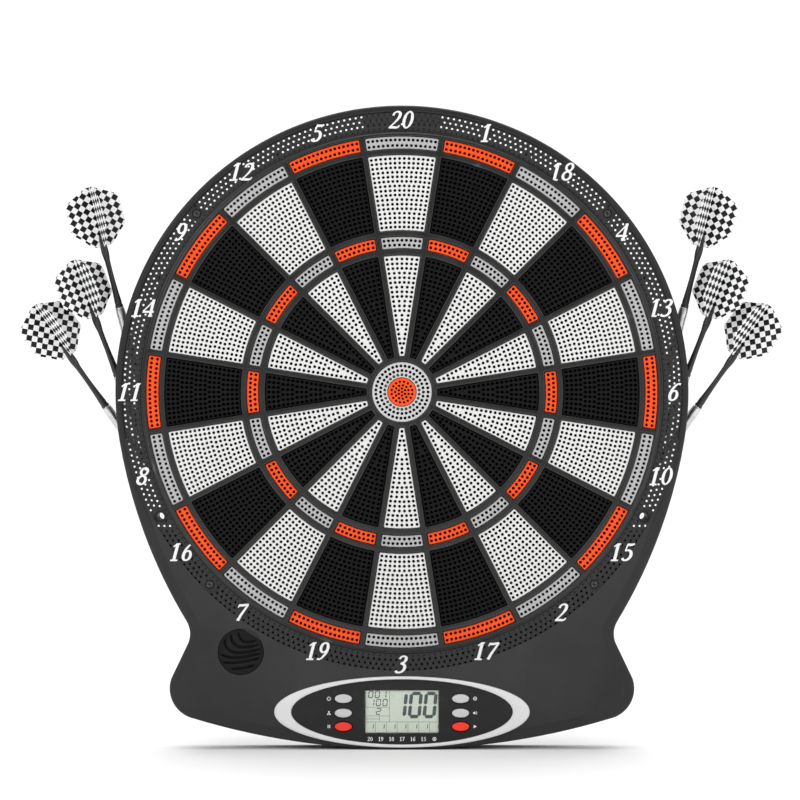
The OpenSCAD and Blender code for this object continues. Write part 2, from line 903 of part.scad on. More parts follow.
// Block of three sockets on a plate that is bonded to the drum's side
module dart_holder(left) {
    color(CHARCOAL)
        difference() {
            union() {
                for (i = [0:2])
                    in_holder(i, left)
                        translate([0, 0, -2])
                            cylinder(r = socket_r, h = socket_l + 2);
                intersection() {
                    tube(drum_r + 4.2, drum_r + fit, 3.5, tray_d - 0.2);
                    block(left ? -200 : 120, left ? -120 : 200, -72, 8, 0, 30);
                }
            }
            for (i = [0:2])
                in_holder(i, left) {
                    translate([0, 0, -0.4])
                        cylinder(r = 1.7, h = 40);
                    translate([0, 0, socket_l - 1])
                        cylinder(r = barrel_r + 0.5, h = 60);
                }
            post(0, 0, drum_r + fit, 0, 30);
            post(0, 0, tray_r + 0.2, tray_d - 0.2, 30);
        }
}

front_housing();
rear_cover();
catch_ring();
spider();
rubber_mat();
sensor_film();
backing_board();
bull_outer();
bull_inner();
control_panel();
oval_trim();
lcd_window();
lcd_module();
main_board();
button_mat();
ribbon_cable();
speaker_grille();
speaker();
wires();
battery_door();
batteries();
battery_contacts();
dart_holder(true);  // dart_holder_left
dart_holder(false);  // dart_holder_right
hanger_plate();
housing_screws();
ring_screws();
wall_pads();
for (i = [0:19])
    sector_segments(i);
for (i = [0:5])
    button(i);
for (i = [0:2]) {
    dart(i, true);
    dart(i, false);
}
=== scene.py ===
"""Electronic dartboard: the looks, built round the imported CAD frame.

Outlines are drawn on the face of the board in millimetres, x to the right and z up from the bull,
and depth is the distance from the wall. piece() turns them into Blender's metres.
"""
import json
from math import acos, asin, atan2, cos, hypot, pi, radians, sin, sqrt

import bmesh
import bpy
from mathutils import Matrix, Vector, geometry

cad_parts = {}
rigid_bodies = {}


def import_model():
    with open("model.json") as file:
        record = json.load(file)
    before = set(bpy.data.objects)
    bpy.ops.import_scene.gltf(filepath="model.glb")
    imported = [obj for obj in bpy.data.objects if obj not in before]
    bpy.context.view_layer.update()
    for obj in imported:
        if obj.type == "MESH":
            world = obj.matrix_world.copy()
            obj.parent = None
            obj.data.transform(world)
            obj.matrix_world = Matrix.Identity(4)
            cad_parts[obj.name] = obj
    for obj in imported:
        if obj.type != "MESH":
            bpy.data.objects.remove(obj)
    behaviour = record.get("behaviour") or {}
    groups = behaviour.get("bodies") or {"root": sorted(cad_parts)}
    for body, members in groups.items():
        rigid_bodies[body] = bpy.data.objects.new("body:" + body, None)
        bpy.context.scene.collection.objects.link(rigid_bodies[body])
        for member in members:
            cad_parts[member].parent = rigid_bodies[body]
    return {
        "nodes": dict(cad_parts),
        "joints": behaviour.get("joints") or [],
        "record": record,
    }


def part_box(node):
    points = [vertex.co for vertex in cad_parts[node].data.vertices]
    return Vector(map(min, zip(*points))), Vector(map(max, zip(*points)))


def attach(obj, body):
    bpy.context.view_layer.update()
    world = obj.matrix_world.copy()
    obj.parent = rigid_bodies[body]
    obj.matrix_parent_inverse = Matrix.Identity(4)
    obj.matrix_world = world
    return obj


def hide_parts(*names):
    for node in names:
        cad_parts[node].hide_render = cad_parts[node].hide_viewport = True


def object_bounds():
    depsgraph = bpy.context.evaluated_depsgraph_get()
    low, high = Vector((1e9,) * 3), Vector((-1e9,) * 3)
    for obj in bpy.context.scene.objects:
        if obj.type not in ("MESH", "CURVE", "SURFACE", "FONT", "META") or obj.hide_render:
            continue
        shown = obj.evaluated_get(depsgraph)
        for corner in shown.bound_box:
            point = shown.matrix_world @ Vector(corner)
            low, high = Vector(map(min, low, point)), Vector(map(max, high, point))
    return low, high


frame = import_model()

CAD_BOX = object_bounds()
MM = 0.001


def span(node):
    """Lowest and highest x, z and depth of a CAD node, in millimetres."""
    lo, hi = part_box(node)
    return (lo.x / MM, hi.x / MM), (lo.z / MM, hi.z / MM), (-hi.y / MM, -lo.y / MM)


def centre_of(node):
    x, z, _ = span(node)
    return sum(x) / 2, sum(z) / 2


# ---- Sizes ----

NUMBERS = [20, 1, 18, 4, 13, 6, 10, 15, 2, 17, 3, 19, 7, 16, 8, 11, 14, 9, 12, 5]
SECTOR = radians(360 / len(NUMBERS))
BODY = frame["record"]["behaviour"]["joints"][0]["parent"]

# Target: radii of each kind of segment, clearance beside a segment's rib, and depths
DOUBLE = (161.8, 170.0)
OUTER_SINGLE = (107.6, 157.6)
TRIPLE = (95.6, 103.2)
INNER_SINGLE = (23.9, 90.8)
SIDE_GAP = 2.0
PLAY = 0.25
LIP = 1.0
BULL_R, EYE_R = 20.0, 9.4
FACE = span("bull_inner")[2][1]
FLANGE_BACK = span("bull_inner")[2][0] + 0.05    # so that a pressed flange stops just short of the mat
FLANGE_FRONT = FLANGE_BACK + 1.35
RIBS_BACK = FLANGE_FRONT + 0.4
RIBS_FRONT = span("spider")[2][1]
SKIRT_BACK = span("spider")[2][0]

# Number ring and rim
RING_BACK = span("catch_ring")[2][0]
RING_FRONT = RING_BACK + 2
RING_IN, RING_OUT = 174.2, span("catch_ring")[0][1]
RIM_IN, RIM_OUT = RING_OUT + 0.1, 191.0
RIM_BACK = 18.0
HOLE_ROWS = (178.4, 181.65, 184.9)
HOLES_PER_ROW = 300
PRICKED_ROW = 175.4
RIM_EDGE, BASE_EDGE = 186.8, 185.5
RING_SCREW_R = 181.0
RING_SCREWS = (41, 139, -45, -135)
TRAY_SCREW_R = 176.8
TRAY_SCREWS = (25, 62, 118, 155, -58, -122)
BASE_SCREWS = ((152, -112), (-152, -112), (137, -199), (-137, -199))
BOARD_SCREWS = ((-56, -191.5), (56, -191.5), (-56, -226.5), (56, -226.5))
NUMBER_R, NUMBER_HEIGHT = 181.2, 11.9
WALL_SCREW = (161.0, -83.0)

# Base: its outline is a chain of arcs, flank, waist, corner and bottom
FRONT = RING_FRONT + 0.4
COVER_FRONT = 3.6
BOARD_FRONT = 17.6
SHOULDER = -92.6
SKIN = 2.2
FLANK_R, FLANK_START, FLANK_END = 345.0, radians(9.5), radians(31.1)
WAIST_R, CORNER_R, FOOT = 16.0, 20.5, radians(73.08)
BOTTOM_R = 482.0
DROP = -span("front_housing")[1][0]

# Panel
PANEL_Z = sum(span("control_panel")[1]) / 2
TRIM_A = span("oval_trim")[0][1]
TRIM_B = (span("oval_trim")[1][1] - span("oval_trim")[1][0]) / 2
TRIM_FRONT = span("oval_trim")[2][1]
TRIM_BACK, TRIM_LEDGE = 24.8, 27.1
PANEL_A = span("control_panel")[0][1]
PANEL_B = (span("control_panel")[1][1] - span("control_panel")[1][0]) / 2
PANEL_BACK, PANEL_FRONT = span("control_panel")[2]
BUTTONS = ("power", "player", "hold", "game", "sound", "start")
BUTTON_A, BUTTON_B = 5.7, 2.9

# Darts: their lengths, and the place of each tip
TIP_L, BARREL_L, SHAFT_L, FLIGHT_L = 25.0, 48.0, 50.0, 41.0
WING_W = 19.0
DARTS = ((171.4, -13.9, 9.5), (164.6, -57.2, 10.5), (156.9, -69.4, 5.5))
# How far each flight is turned about its dart, in degrees
TURNS = {"left": (20, 30, 22), "right": (-24, -33, -30)}


# ---- Outlines ----

def polar(r, angle, centre=(0, 0)):
    """Point at an angle from +x, anticlockwise."""
    return (centre[0] + r * cos(angle), centre[1] + r * sin(angle))


def arc(centre, r, start, end, steps):
    return [polar(r, start + (end - start) * i / steps, centre) for i in range(steps + 1)]


def circle(r, sides, centre=(0, 0)):
    return [polar(r, 2 * pi * i / sides, centre) for i in range(sides)]


def ellipse(a, b, sides, centre):
    return [(centre[0] + a * cos(2 * pi * i / sides), centre[1] + b * sin(2 * pi * i / sides))
            for i in range(sides)]


def box_outline(x0, x1, z0, z1, corner=0.0, steps=3):
    """Rectangle, its corners rounded."""
    if not corner:
        return [(x0, z0), (x1, z0), (x1, z1), (x0, z1)]
    centres = ((x1 - corner, z1 - corner), (x0 + corner, z1 - corner),
               (x0 + corner, z0 + corner), (x1 - corner, z0 + corner))
    return [p for i, c in enumerate(centres)
            for p in arc(c, corner, i * pi / 2, (i + 1) * pi / 2, steps)]


def wedge(radii, grow=0.0, corner=0.7):
    """Outline of a wedge of the face about the vertical, its sides parallel to the ribs beside it."""
    r_in, r_out = radii[0] - grow, radii[1] + grow
    gap = SIDE_GAP - grow

    def half(r):
        return SECTOR / 2 - asin(gap / r)

    def at(r, angle):
        return Vector(polar(r, pi / 2 - angle))

    def bend(a, tip, b):
        return [a.lerp(tip, t).lerp(tip.lerp(b, t), t) for t in (0, 0.35, 0.65, 1)]

    outer = half(r_out) - corner / r_out
    inner = half(r_in) - corner / r_in
    top_steps = max(3, round(radii[1] * SECTOR / 2.6))
    foot_steps = max(2, round(radii[0] * SECTOR / 2.6))
    right = bend(at(r_out, outer), at(r_out, half(r_out)), at(r_out - corner, half(r_out - corner)))
    right += bend(at(r_in + corner, half(r_in + corner)), at(r_in, half(r_in)), at(r_in, inner))
    top = [at(r_out, outer * (2 * i / top_steps - 1)) for i in range(1, top_steps)]
    foot = [at(r_in, inner * (1 - 2 * i / foot_steps)) for i in range(1, foot_steps)]
    left = [Vector((-p.x, p.y)) for p in reversed(right)]
    return [tuple(p) for p in top + right + foot + left]


def turned(outline, angle):
    """The outline turned clockwise."""
    c, s = cos(angle), sin(angle)
    return [(x * c + z * s, z * c - x * s) for x, z in outline]


def smooth(points, steps=5):
    """Catmull-Rom curve through points of any size, such as (x, z, width)."""
    last = len(points) - 1
    if last < 2:
        return [tuple(p) for p in points]
    made = []
    for i in range(last):
        p = [Vector(points[min(max(i + k, 0), last)]) for k in (-1, 0, 1, 2)]
        for s in range(steps):
            t = s / steps
            bend = 2 * p[0] - 5 * p[1] + 4 * p[2] - p[3]
            twist = 3 * p[1] - p[0] - 3 * p[2] + p[3]
            made.append(0.5 * (2 * p[1] + (p[2] - p[0]) * t + bend * t * t + twist * t ** 3))
    return [tuple(p) for p in made + [Vector(points[last])]]


def area_of(corners):
    """Twice the signed area, which is positive where the corners run anticlockwise."""
    return sum(a[0] * b[1] - b[0] * a[1] for a, b in zip(corners, corners[1:] + corners[:1]))


def stroke(points, closed=False):
    """Quads along a pen stroke, each point being (x, z, width)."""
    count = len(points)
    sides = []
    for i, (x, z, width) in enumerate(points):
        before = points[i - 1] if closed or i else points[i]
        after = points[(i + 1) % count] if closed or i < count - 1 else points[i]
        dx, dz = after[0] - before[0], after[1] - before[1]
        length = hypot(dx, dz)
        nx, nz = -dz / length * width / 2, dx / length * width / 2
        sides.append(((x + nx, z + nz), (x - nx, z - nz)))
    pairs = list(zip(sides, sides[1:] + sides[:1])) if closed else list(zip(sides, sides[1:]))
    return [[a[0], a[1], b[1], b[0]] for a, b in pairs]


# ---- Meshes ----

class Openings:
    """Loops of the holes through a plate, at its front and at its back."""

    def __init__(self):
        self.fronts, self.backs = [], []

    def add(self, loops):
        self.fronts.append(loops[0])
        self.backs.append(loops[1])


class Shape:
    """Faces gathered in millimetres. A point is (x, z, depth), and a loop is a list of point numbers."""

    def __init__(self):
        self.points = []
        self.faces = []
        self.paints = []

    def loop(self, outline, depth):
        depths = depth if isinstance(depth, list) else [depth] * len(outline)
        start = len(self.points)
        self.points += [(x, z, d) for (x, z), d in zip(outline, depths)]
        return list(range(start, len(self.points)))

    def face(self, corners, paint=0):
        self.faces.append(tuple(corners))
        self.paints.append(paint)

    def band(self, a, b, paint=0):
        """Joins two loops that have equally many points."""
        for i in range(len(a)):
            self.face((a[i - 1], a[i], b[i], b[i - 1]), paint)

    def stack(self, layers, paint=0):
        """Joins (outline, depth) layers one after another and returns the first and last loops."""
        loops = [self.loop(outline, depth) for outline, depth in layers]
        for a, b in zip(loops, loops[1:]):
            self.band(a, b, paint)
        return loops[0], loops[-1]

    def rings(self, profile, sides, centre=(0, 0), paint=0):
        """Stack of circles, from (radius, depth) pairs."""
        return self.stack([(circle(r, sides, centre), d) for r, d in profile], paint)

    def ovals(self, profile, sides, centre):
        """Stack of ellipses, from (half width, half height, depth) rows."""
        return self.stack([(ellipse(a, b, sides, centre), d) for a, b, d in profile])

    def close(self, loops):
        """Fills the two end loops of a stack."""
        self.face(loops[0])
        self.face(reversed(loops[1]))

    def plate(self, outer, holes):
        """Fills the flat between an outer loop and its holes."""
        numbers, outlines = [], []
        for loop in (outer, *holes):
            outline = list(range(len(numbers), len(numbers) + len(loop)))
            numbers += loop
            outlines.append(outline if area_of([self.points[n] for n in loop]) > 0 else outline[::-1])
        flat = [Vector(self.points[n][:2]) for n in numbers]
        made = geometry.delaunay_2d_cdt(flat, [], outlines, 0, 1e-5)
        for corners, inside in zip(made[2], made[5]):
            if list(inside) == [0]:
                self.face([numbers[made[3][k][0]] for k in corners])

    def slab(self, adds, back, front, cuts=()):
        """Solid between two depths: the area inside any outline of adds and outside all those of cuts."""
        outlines = [*adds, *cuts]
        flat, faces = [], []
        for outline in outlines:
            order = list(range(len(flat), len(flat) + len(outline)))
            faces.append(order if area_of(outline) > 0 else order[::-1])
            flat += [Vector(p) for p in outline]
        points, _, corners, _, _, origin = geometry.delaunay_2d_cdt(flat, [], faces, 0, 1e-4)
        kept = [c for c, o in zip(corners, origin) if o and all(k < len(adds) for k in o)]
        start = len(self.points)
        count = len(points)
        for depth in (back, front):
            self.points += [(p.x, p.y, depth) for p in points]
        rims = {}
        for c in kept:
            self.face([start + k for k in c])
            self.face([start + count + k for k in reversed(c)])
            for a, b in zip(c, c[1:] + c[:1]):
                rims[(a, b)] = rims.get((a, b), 0) + 1
        for a, b in rims:
            if (b, a) not in rims:
                self.face((start + a, start + b, start + count + b, start + count + a))

    def lathe(self, profile, sides=32, centre=(0, 0), closed=False):
        """Turns (radius, depth) points about an axis that runs through the board."""
        loops = [self.loop(circle(r, sides, centre), d) for r, d in profile]
        for a, b in zip(loops, loops[1:]):
            self.band(a, b)
        if closed:
            self.band(loops[-1], loops[0])
        else:
            self.close((loops[0], loops[-1]))


def mesh_of(shape, name, bevel=0.0, limit=40, axis_up=False):
    """Mesh in metres. With axis_up the points are (x, y, z) as they stand, for a piece turned about +Z."""
    mesh = bpy.data.meshes.new(name)
    if axis_up:
        verts = [(x * MM, y * MM, z * MM) for x, y, z in shape.points]
    else:
        verts = [(x * MM, -d * MM, z * MM) for x, z, d in shape.points]
    mesh.from_pydata(verts, [], shape.faces)
    mesh.polygons.foreach_set("material_index", shape.paints)
    work = bmesh.new()
    work.from_mesh(mesh)
    bmesh.ops.remove_doubles(work, verts=work.verts, dist=2e-6)
    bmesh.ops.dissolve_degenerate(work, edges=work.edges, dist=1e-6)
    if bevel:
        bmesh.ops.dissolve_limit(work, angle_limit=radians(0.5), verts=work.verts, edges=work.edges,
                                 delimit={"MATERIAL"})
        bmesh.ops.recalc_face_normals(work, faces=work.faces)
        sharp = [e for e in work.edges if len(e.link_faces) == 2 and e.calc_face_angle() > radians(limit)]
        bmesh.ops.bevel(work, geom=sharp, offset=bevel * MM, segments=2, profile=0.5, affect="EDGES",
                        clamp_overlap=True, loop_slide=False)
    bmesh.ops.recalc_face_normals(work, faces=work.faces)
    work.to_mesh(mesh)
    work.free()
    mesh.shade_smooth()
    mesh.set_sharp_from_angle(angle=radians(38))
    return mesh


def put(name, data):
    """New object in the scene."""
    made = bpy.data.objects.new(name, data)
    bpy.context.scene.collection.objects.link(made)
    return made


def add(mesh, name, body, materials, replaces=(), place=None):
    """Puts a mesh in the scene as one named piece that rides on a body."""
    mesh.materials.clear()
    for material in materials:
        mesh.materials.append(material)
    made = put(name, mesh)
    if place is not None:
        made.matrix_world = place
    made.modifiers.new("even_shading", "WEIGHTED_NORMAL").keep_sharp = True
    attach(made, body)
    if replaces:
        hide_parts(*replaces)
    return made


def piece(shape, name, body, materials, replaces=(), bevel=0.0, limit=40):
    return add(mesh_of(shape, name, bevel, limit), name, body, materials, replaces)


# ---- Materials ----

class Paint:
    """A node material on a Principled shader, with its noise laid out in object space."""

    def __init__(self, name):
        self.material = bpy.data.materials.new(name)
        self.material.use_nodes = True
        self.tree = self.material.node_tree
        self.shader = self.tree.nodes["Principled BSDF"]
        self.where = self.new("ShaderNodeTexCoord").outputs["Object"]

    def fill(self, node, inputs):
        """Gives a node's inputs their values, or links them to other nodes' outputs."""
        for name, value in inputs.items():
            if isinstance(value, bpy.types.NodeSocket):
                self.tree.links.new(value, node.inputs[name])
            else:
                node.inputs[name].default_value = value

    def new(self, kind, inputs=None, **settings):
        node = self.tree.nodes.new(kind)
        for name, value in settings.items():
            setattr(node, name, value)
        self.fill(node, inputs or {})
        return node

    def set(self, **values):
        """Values or outputs for the shader's own inputs."""
        self.fill(self.shader, {name.replace("_", " "): value for name, value in values.items()})

    def noise(self, scale, detail=2.0, stretch=None):
        """Noise whose grains are about 1 / scale metres, stretched along an axis if asked."""
        where = self.where
        if stretch:
            where = self.new("ShaderNodeMapping", {"Vector": where, "Scale": stretch}).outputs["Vector"]
        inputs = {"Vector": where, "Scale": scale, "Detail": detail}
        return self.new("ShaderNodeTexNoise", inputs).outputs["Fac"]

    def remap(self, value, low, high, out_low, out_high):
        inputs = {"Value": value, "From Min": low, "From Max": high, "To Min": out_low, "To Max": out_high}
        return self.new("ShaderNodeMapRange", inputs).outputs["Result"]

    def mix(self, factor, a, b):
        """Colour between a and b, which are colours or sockets."""
        a, b = ((*c, 1) if isinstance(c, tuple) else c for c in (a, b))
        return self.new("ShaderNodeMix", {"Factor": factor, 6: a, 7: b}, data_type="RGBA").outputs[2]

    def bump(self, height, strength, distance):
        inputs = {"Height": height, "Strength": strength, "Distance": distance}
        self.set(Normal=self.new("ShaderNodeBump", inputs).outputs["Normal"])

    def worn_edges(self, colour, worn, amount):
        """Lightens the edges a little, where the surface turns outwards."""
        point = self.new("ShaderNodeNewGeometry").outputs["Pointiness"]
        return self.mix(self.remap(point, 0.52, 0.60, 0.0, amount), colour, worn)


def shade(colour, factor):
    return tuple(min(1.0, c * factor) for c in colour)


def plastic(name, colour, rough, grain=2600, relief=0.25, mottle=0.10, edge=0.25, specular=0.5):
    """Moulded plastic: fine spark texture, cloudy tone, handling smudges and rubbed edges."""
    paint = Paint(name)
    cloud = paint.remap(paint.noise(38, 3.0), 0.3, 0.7, 0.0, 1.0)
    tone = paint.mix(cloud, shade(colour, 1 - mottle), shade(colour, 1 + mottle))
    dust = paint.remap(paint.noise(grain / 3, 2.0), 0.62, 0.75, 0.0, 0.18)
    tone = paint.mix(dust, tone, shade(colour, 1.5))
    if edge:
        tone = paint.worn_edges(tone, tuple(0.55 * c + 0.12 for c in colour), edge)
    smudge = paint.remap(paint.noise(95, 4.0), 0.35, 0.68, rough - 0.06, rough + 0.09)
    paint.bump(paint.noise(grain, 2.0), relief, 0.00012)
    paint.set(Base_Color=tone, Roughness=smudge, Specular_IOR_Level=specular)
    return paint.material


def metal(name, colour, rough, brush=(1, 1, 1)):
    """Plated metal: brushed or turned grain, stains and varied polish."""
    paint = Paint(name)
    stain = paint.remap(paint.noise(160, 4.0), 0.42, 0.72, 0.0, 0.5)
    grain = paint.noise(1800, 3.0, brush)
    paint.bump(grain, 0.15, 0.00008)
    paint.set(Metallic=1.0, Base_Color=paint.mix(stain, colour, shade(colour, 0.72)),
              Roughness=paint.remap(grain, 0.3, 0.7, rough - 0.08, rough + 0.12))
    return paint.material


def clear_acrylic():
    """Thin clear lens: mostly see-through, glossy at a slant, with faint smears."""
    paint = Paint("clear_acrylic")
    paint.tree.nodes.remove(paint.shader)
    see = paint.new("ShaderNodeBsdfTransparent", {"Color": (0.93, 0.95, 0.94, 1)})
    smear = paint.remap(paint.noise(120, 4.0), 0.35, 0.7, 0.03, 0.12)
    gloss = paint.new("ShaderNodeBsdfGlossy", {"Roughness": smear})
    slant = paint.new("ShaderNodeLayerWeight").outputs["Facing"]
    share = paint.remap(slant, 0.5, 1.0, 0.03, 0.5)
    inputs = {"Fac": share, 1: see.outputs["BSDF"], 2: gloss.outputs["BSDF"]}
    mixed = paint.new("ShaderNodeMixShader", inputs)
    paint.fill(paint.tree.nodes["Material Output"], {"Surface": mixed.outputs["Shader"]})
    return paint.material


def checked_film():
    """Printed flight film: squares set cornerwise along the dart's axis."""
    square = 3.74 * MM
    pale, dark = (0.94, 0.94, 0.94), (0.004, 0.004, 0.004)
    paint = Paint("flight_film")
    split = paint.new("ShaderNodeSeparateXYZ", {"Vector": paint.where}).outputs
    flat = paint.new("ShaderNodeCombineXYZ", {"X": split["X"], "Y": split["Y"]}).outputs["Vector"]
    out = paint.new("ShaderNodeVectorMath", {0: flat}, operation="LENGTH").outputs["Value"]
    grid = paint.new("ShaderNodeCombineXYZ", {"X": out, "Y": 0.5 * square, "Z": split["Z"]})
    tilted = paint.new("ShaderNodeMapping", {"Vector": grid.outputs["Vector"], "Rotation": (0, pi / 4, 0)})
    checks = paint.new("ShaderNodeTexChecker", {"Vector": tilted.outputs["Vector"], "Scale": 1 / square})
    ink = paint.remap(paint.noise(900, 3.0), 0.3, 0.7, 0.0, 0.25)
    colour = paint.mix(checks.outputs["Fac"], paint.mix(ink, dark, shade(dark, 1.8)),
                       paint.mix(ink, pale, shade(pale, 0.93)))
    paint.bump(paint.noise(60, 2.0), 0.2, 0.0006)
    paint.set(Base_Color=colour, Roughness=paint.remap(paint.noise(140, 3.0), 0.3, 0.7, 0.28, 0.48),
              Specular_IOR_Level=0.2)
    return paint.material


def fibre_board():
    paint = Paint("fibre_board")
    fleck = paint.remap(paint.noise(700, 5.0, (1, 3, 1)), 0.35, 0.7, 0.0, 1.0)
    paint.bump(paint.noise(900, 4.0), 0.4, 0.0002)
    paint.set(Base_Color=paint.mix(fleck, (0.16, 0.085, 0.04), (0.33, 0.20, 0.10)),
              Roughness=paint.remap(paint.noise(300, 3.0), 0.3, 0.7, 0.6, 0.85))
    return paint.material


def printed_film():
    """Amber film with silver tracks in a grid."""
    paint = Paint("printed_film")
    wave = paint.new("ShaderNodeTexWave", {"Vector": paint.where, "Scale": 90},
                     wave_type="BANDS", bands_direction="X")
    track = paint.remap(wave.outputs["Fac"], 0.55, 0.65, 0.0, 1.0)
    paint.set(Base_Color=paint.mix(track, (0.62, 0.30, 0.06), (0.55, 0.55, 0.52)),
              Roughness=paint.remap(paint.noise(200), 0.3, 0.7, 0.2, 0.4))
    return paint.material


def solder_mask():
    """Green circuit board with paler tracks under the mask."""
    paint = Paint("solder_mask")
    turn = paint.new("ShaderNodeMapping", {"Vector": paint.where, "Rotation": (pi / 2, 0, 0)})
    inputs = {"Vector": turn.outputs["Vector"], "Scale": 220, "Mortar Size": 0.06}
    tracks = paint.new("ShaderNodeTexBrick", inputs).outputs["Fac"]
    paint.bump(tracks, 0.3, 0.0001)
    paint.set(Base_Color=paint.mix(tracks, (0.008, 0.085, 0.03), (0.02, 0.16, 0.06)),
              Roughness=paint.remap(paint.noise(150), 0.3, 0.7, 0.22, 0.4))
    return paint.material


# Target
WHITE = plastic("segment_white", (0.78, 0.78, 0.77), 0.38, mottle=0.02, edge=0.0, specular=0.4)
GREY = plastic("segment_grey", (0.47, 0.47, 0.47), 0.38, mottle=0.03, edge=0.0, specular=0.4)
GREY_BULL = plastic("bull_grey", (0.62, 0.62, 0.62), 0.38, mottle=0.03, edge=0.0, specular=0.4)
BLACK = plastic("segment_black", (0.003, 0.003, 0.0032), 0.42, edge=0.05, specular=0.10)
ORANGE = plastic("segment_orange", (0.93, 0.085, 0.010), 0.36, mottle=0.03, edge=0.0, specular=0.3)
# Painted shade: near-black, and dark red for the orange parts, on the walls of holes and slots, standing in
# for the shade that falls inside them
HOLE_SHADE = plastic("painted_hole_shade", (0.008, 0.008, 0.008), 0.7, edge=0.0, specular=0.1)
RED_HOLE_SHADE = plastic("painted_red_hole_shade", (0.055, 0.006, 0.003), 0.7, edge=0.0, specular=0.1)
SPIDER = plastic("spider_plastic", (0.0075, 0.0075, 0.008), 0.32, edge=0.5)

# Housing and ring
RING = plastic("ring_plastic", (0.0095, 0.0095, 0.010), 0.45, edge=0.15, specular=0.30)
RIM = plastic("rim_plastic", (0.012, 0.012, 0.013), 0.45, grain=2200, relief=0.3, edge=0.1, specular=0.35)
HOUSING = plastic("housing_plastic", (0.0165, 0.0165, 0.0175), 0.52, grain=2200, relief=0.4, edge=0.12,
                  specular=0.38)
COVER = plastic("cover_plastic", (0.013, 0.013, 0.014), 0.55, grain=2000, relief=0.45, mottle=0.04)
PRINT = plastic("number_white", (0.88, 0.88, 0.88), 0.40, mottle=0.02, edge=0.0)

# Panel
PANEL = plastic("panel_black", (0.0065, 0.0065, 0.007), 0.32, grain=3500, relief=0.12, edge=0.1,
                specular=0.35)
GRILLE = plastic("grille_black", (0.0035, 0.0035, 0.004), 0.5, grain=2500, relief=0.3, edge=0.1,
                 specular=0.12)
TRIM = plastic("trim_grey", (0.78, 0.78, 0.79), 0.34, grain=3500, relief=0.12, mottle=0.02, edge=0.0)
KEY_GREY = plastic("key_grey", (0.62, 0.62, 0.63), 0.36, mottle=0.03, edge=0.0)
KEY_RED = plastic("key_red", (0.95, 0.033, 0.014), 0.36, mottle=0.03, edge=0.0)
LENS = clear_acrylic()
LCD = plastic("display_glass", (0.88, 0.90, 0.80), 0.22, grain=5000, relief=0.05, mottle=0.03, edge=0.0)
LCD_INK = plastic("display_ink", (0.045, 0.055, 0.07), 0.3, grain=5000, relief=0.05, edge=0.0)

# Darts and screws
TIP = plastic("tip_black", (0.012, 0.012, 0.013), 0.38, edge=0.1)
BARREL = metal("barrel_steel", (0.62, 0.62, 0.63), 0.26, brush=(1, 1, 12))
SHAFT = plastic("shaft_black", (0.012, 0.012, 0.013), 0.30, edge=0.2)
FILM = checked_film()
SCREW = metal("screw_steel", (0.26, 0.26, 0.265), 0.32)
COATED = plastic("coated_steel", (0.02, 0.02, 0.021), 0.4, grain=1500, relief=0.3, edge=0.35)

# CAD nodes inside and behind
RUBBER = plastic("rubber", (0.018, 0.018, 0.018), 0.78, grain=1200, relief=0.6, edge=0.2, specular=0.3)
SILICONE = plastic("silicone", (0.42, 0.42, 0.41), 0.6, grain=1600, edge=0.0)
WIRE = plastic("wire_insulation", (0.28, 0.02, 0.02), 0.4, grain=1500, edge=0.0)
JACKET = plastic("battery_jacket", (0.02, 0.02, 0.022), 0.28, grain=4000, relief=0.05, edge=0.3)
CONTACT = metal("contact_metal", (0.60, 0.60, 0.59), 0.26, brush=(1, 6, 1))
CONE = plastic("speaker_cone", (0.008, 0.008, 0.008), 0.75, grain=900, relief=0.5, edge=0.1, specular=0.15)
BOARD = fibre_board()
TRACKS = printed_film()
PCB = solder_mask()


# ---- Target ----

def bores(shape, places, back, front, r=1.04, sides=10, rim=0.1, bore=0):
    """Round holes with a rounded rim at the front. The walls behind the rim take the paint numbered bore;
    most callers give 1, which is painted shade for the inside of the holes.
    """
    holes = Openings()
    for place in places:
        first, edge = shape.rings([(r + rim, front), (r, front - rim)], sides, place)
        start, last = shape.rings([(r, front - rim), (r - 0.06, back)], sides, place, bore)
        shape.band(edge, start)
        holes.add((first, last))
    return holes


def rows_of_holes(radii, rows, margin=2.25, pitch=3.04):
    """Places of a segment's holes: rows along arcs, each as full as its width allows."""
    inner, outer = radii[0] + margin, radii[1] - margin
    places = []
    for i in range(rows):
        r = outer - (outer - inner) * i / (rows - 1)
        half = r * (SECTOR / 2 - asin(SIDE_GAP / r)) - margin + 0.35
        count = max(1, int(2 * half / pitch + 1.25))
        for k in range(count):
            angle = (2 * half / r) * (k / (count - 1) - 0.5) if count > 1 else 0.0
            places.append((r * sin(angle), r * cos(angle)))
    return places


def segment_mesh(radii, rows):
    """One perforated segment of the sector at the top, with its flange behind."""
    shape = Shape()
    layers = [(wedge(radii, LIP), FLANGE_BACK), (wedge(radii, LIP), FLANGE_FRONT),
              (wedge(radii), FLANGE_FRONT), (wedge(radii), FACE - 0.55), (wedge(radii, -0.12), FACE - 0.2),
              (wedge(radii, -0.4), FACE)]
    foot, edge = shape.stack(layers)
    holes = bores(shape, rows_of_holes(radii, rows), FLANGE_BACK, FACE, bore=1)
    shape.plate(edge, holes.fronts)
    shape.plate(foot, holes.backs)
    return mesh_of(shape, "segment")


def build_segments():
    kinds = (("double", DOUBLE, 2), ("outer_single", OUTER_SINGLE, 16), ("triple", TRIPLE, 2),
             ("inner_single", INNER_SINGLE, 21))
    for kind, radii, rows in kinds:
        pattern = segment_mesh(radii, rows)
        # Each finish pairs the segment's colour with painted shade for the walls of its holes
        looks = [("segment_white", (WHITE, HOLE_SHADE)), ("segment_black", (BLACK, HOLE_SHADE))]
        if kind in ("double", "triple"):
            looks = [("segment_grey", (GREY, HOLE_SHADE)), ("segment_orange", (ORANGE, RED_HOLE_SHADE))]
        for i, number in enumerate(NUMBERS):
            slot, finish = looks[i % 2]
            mesh = pattern.copy()
            mesh.transform(Matrix.Rotation(SECTOR * i, 4, "Y"))
            sector = f"sector_{number}"
            add(mesh, f"{kind}_{number}", sector, finish, [sector])


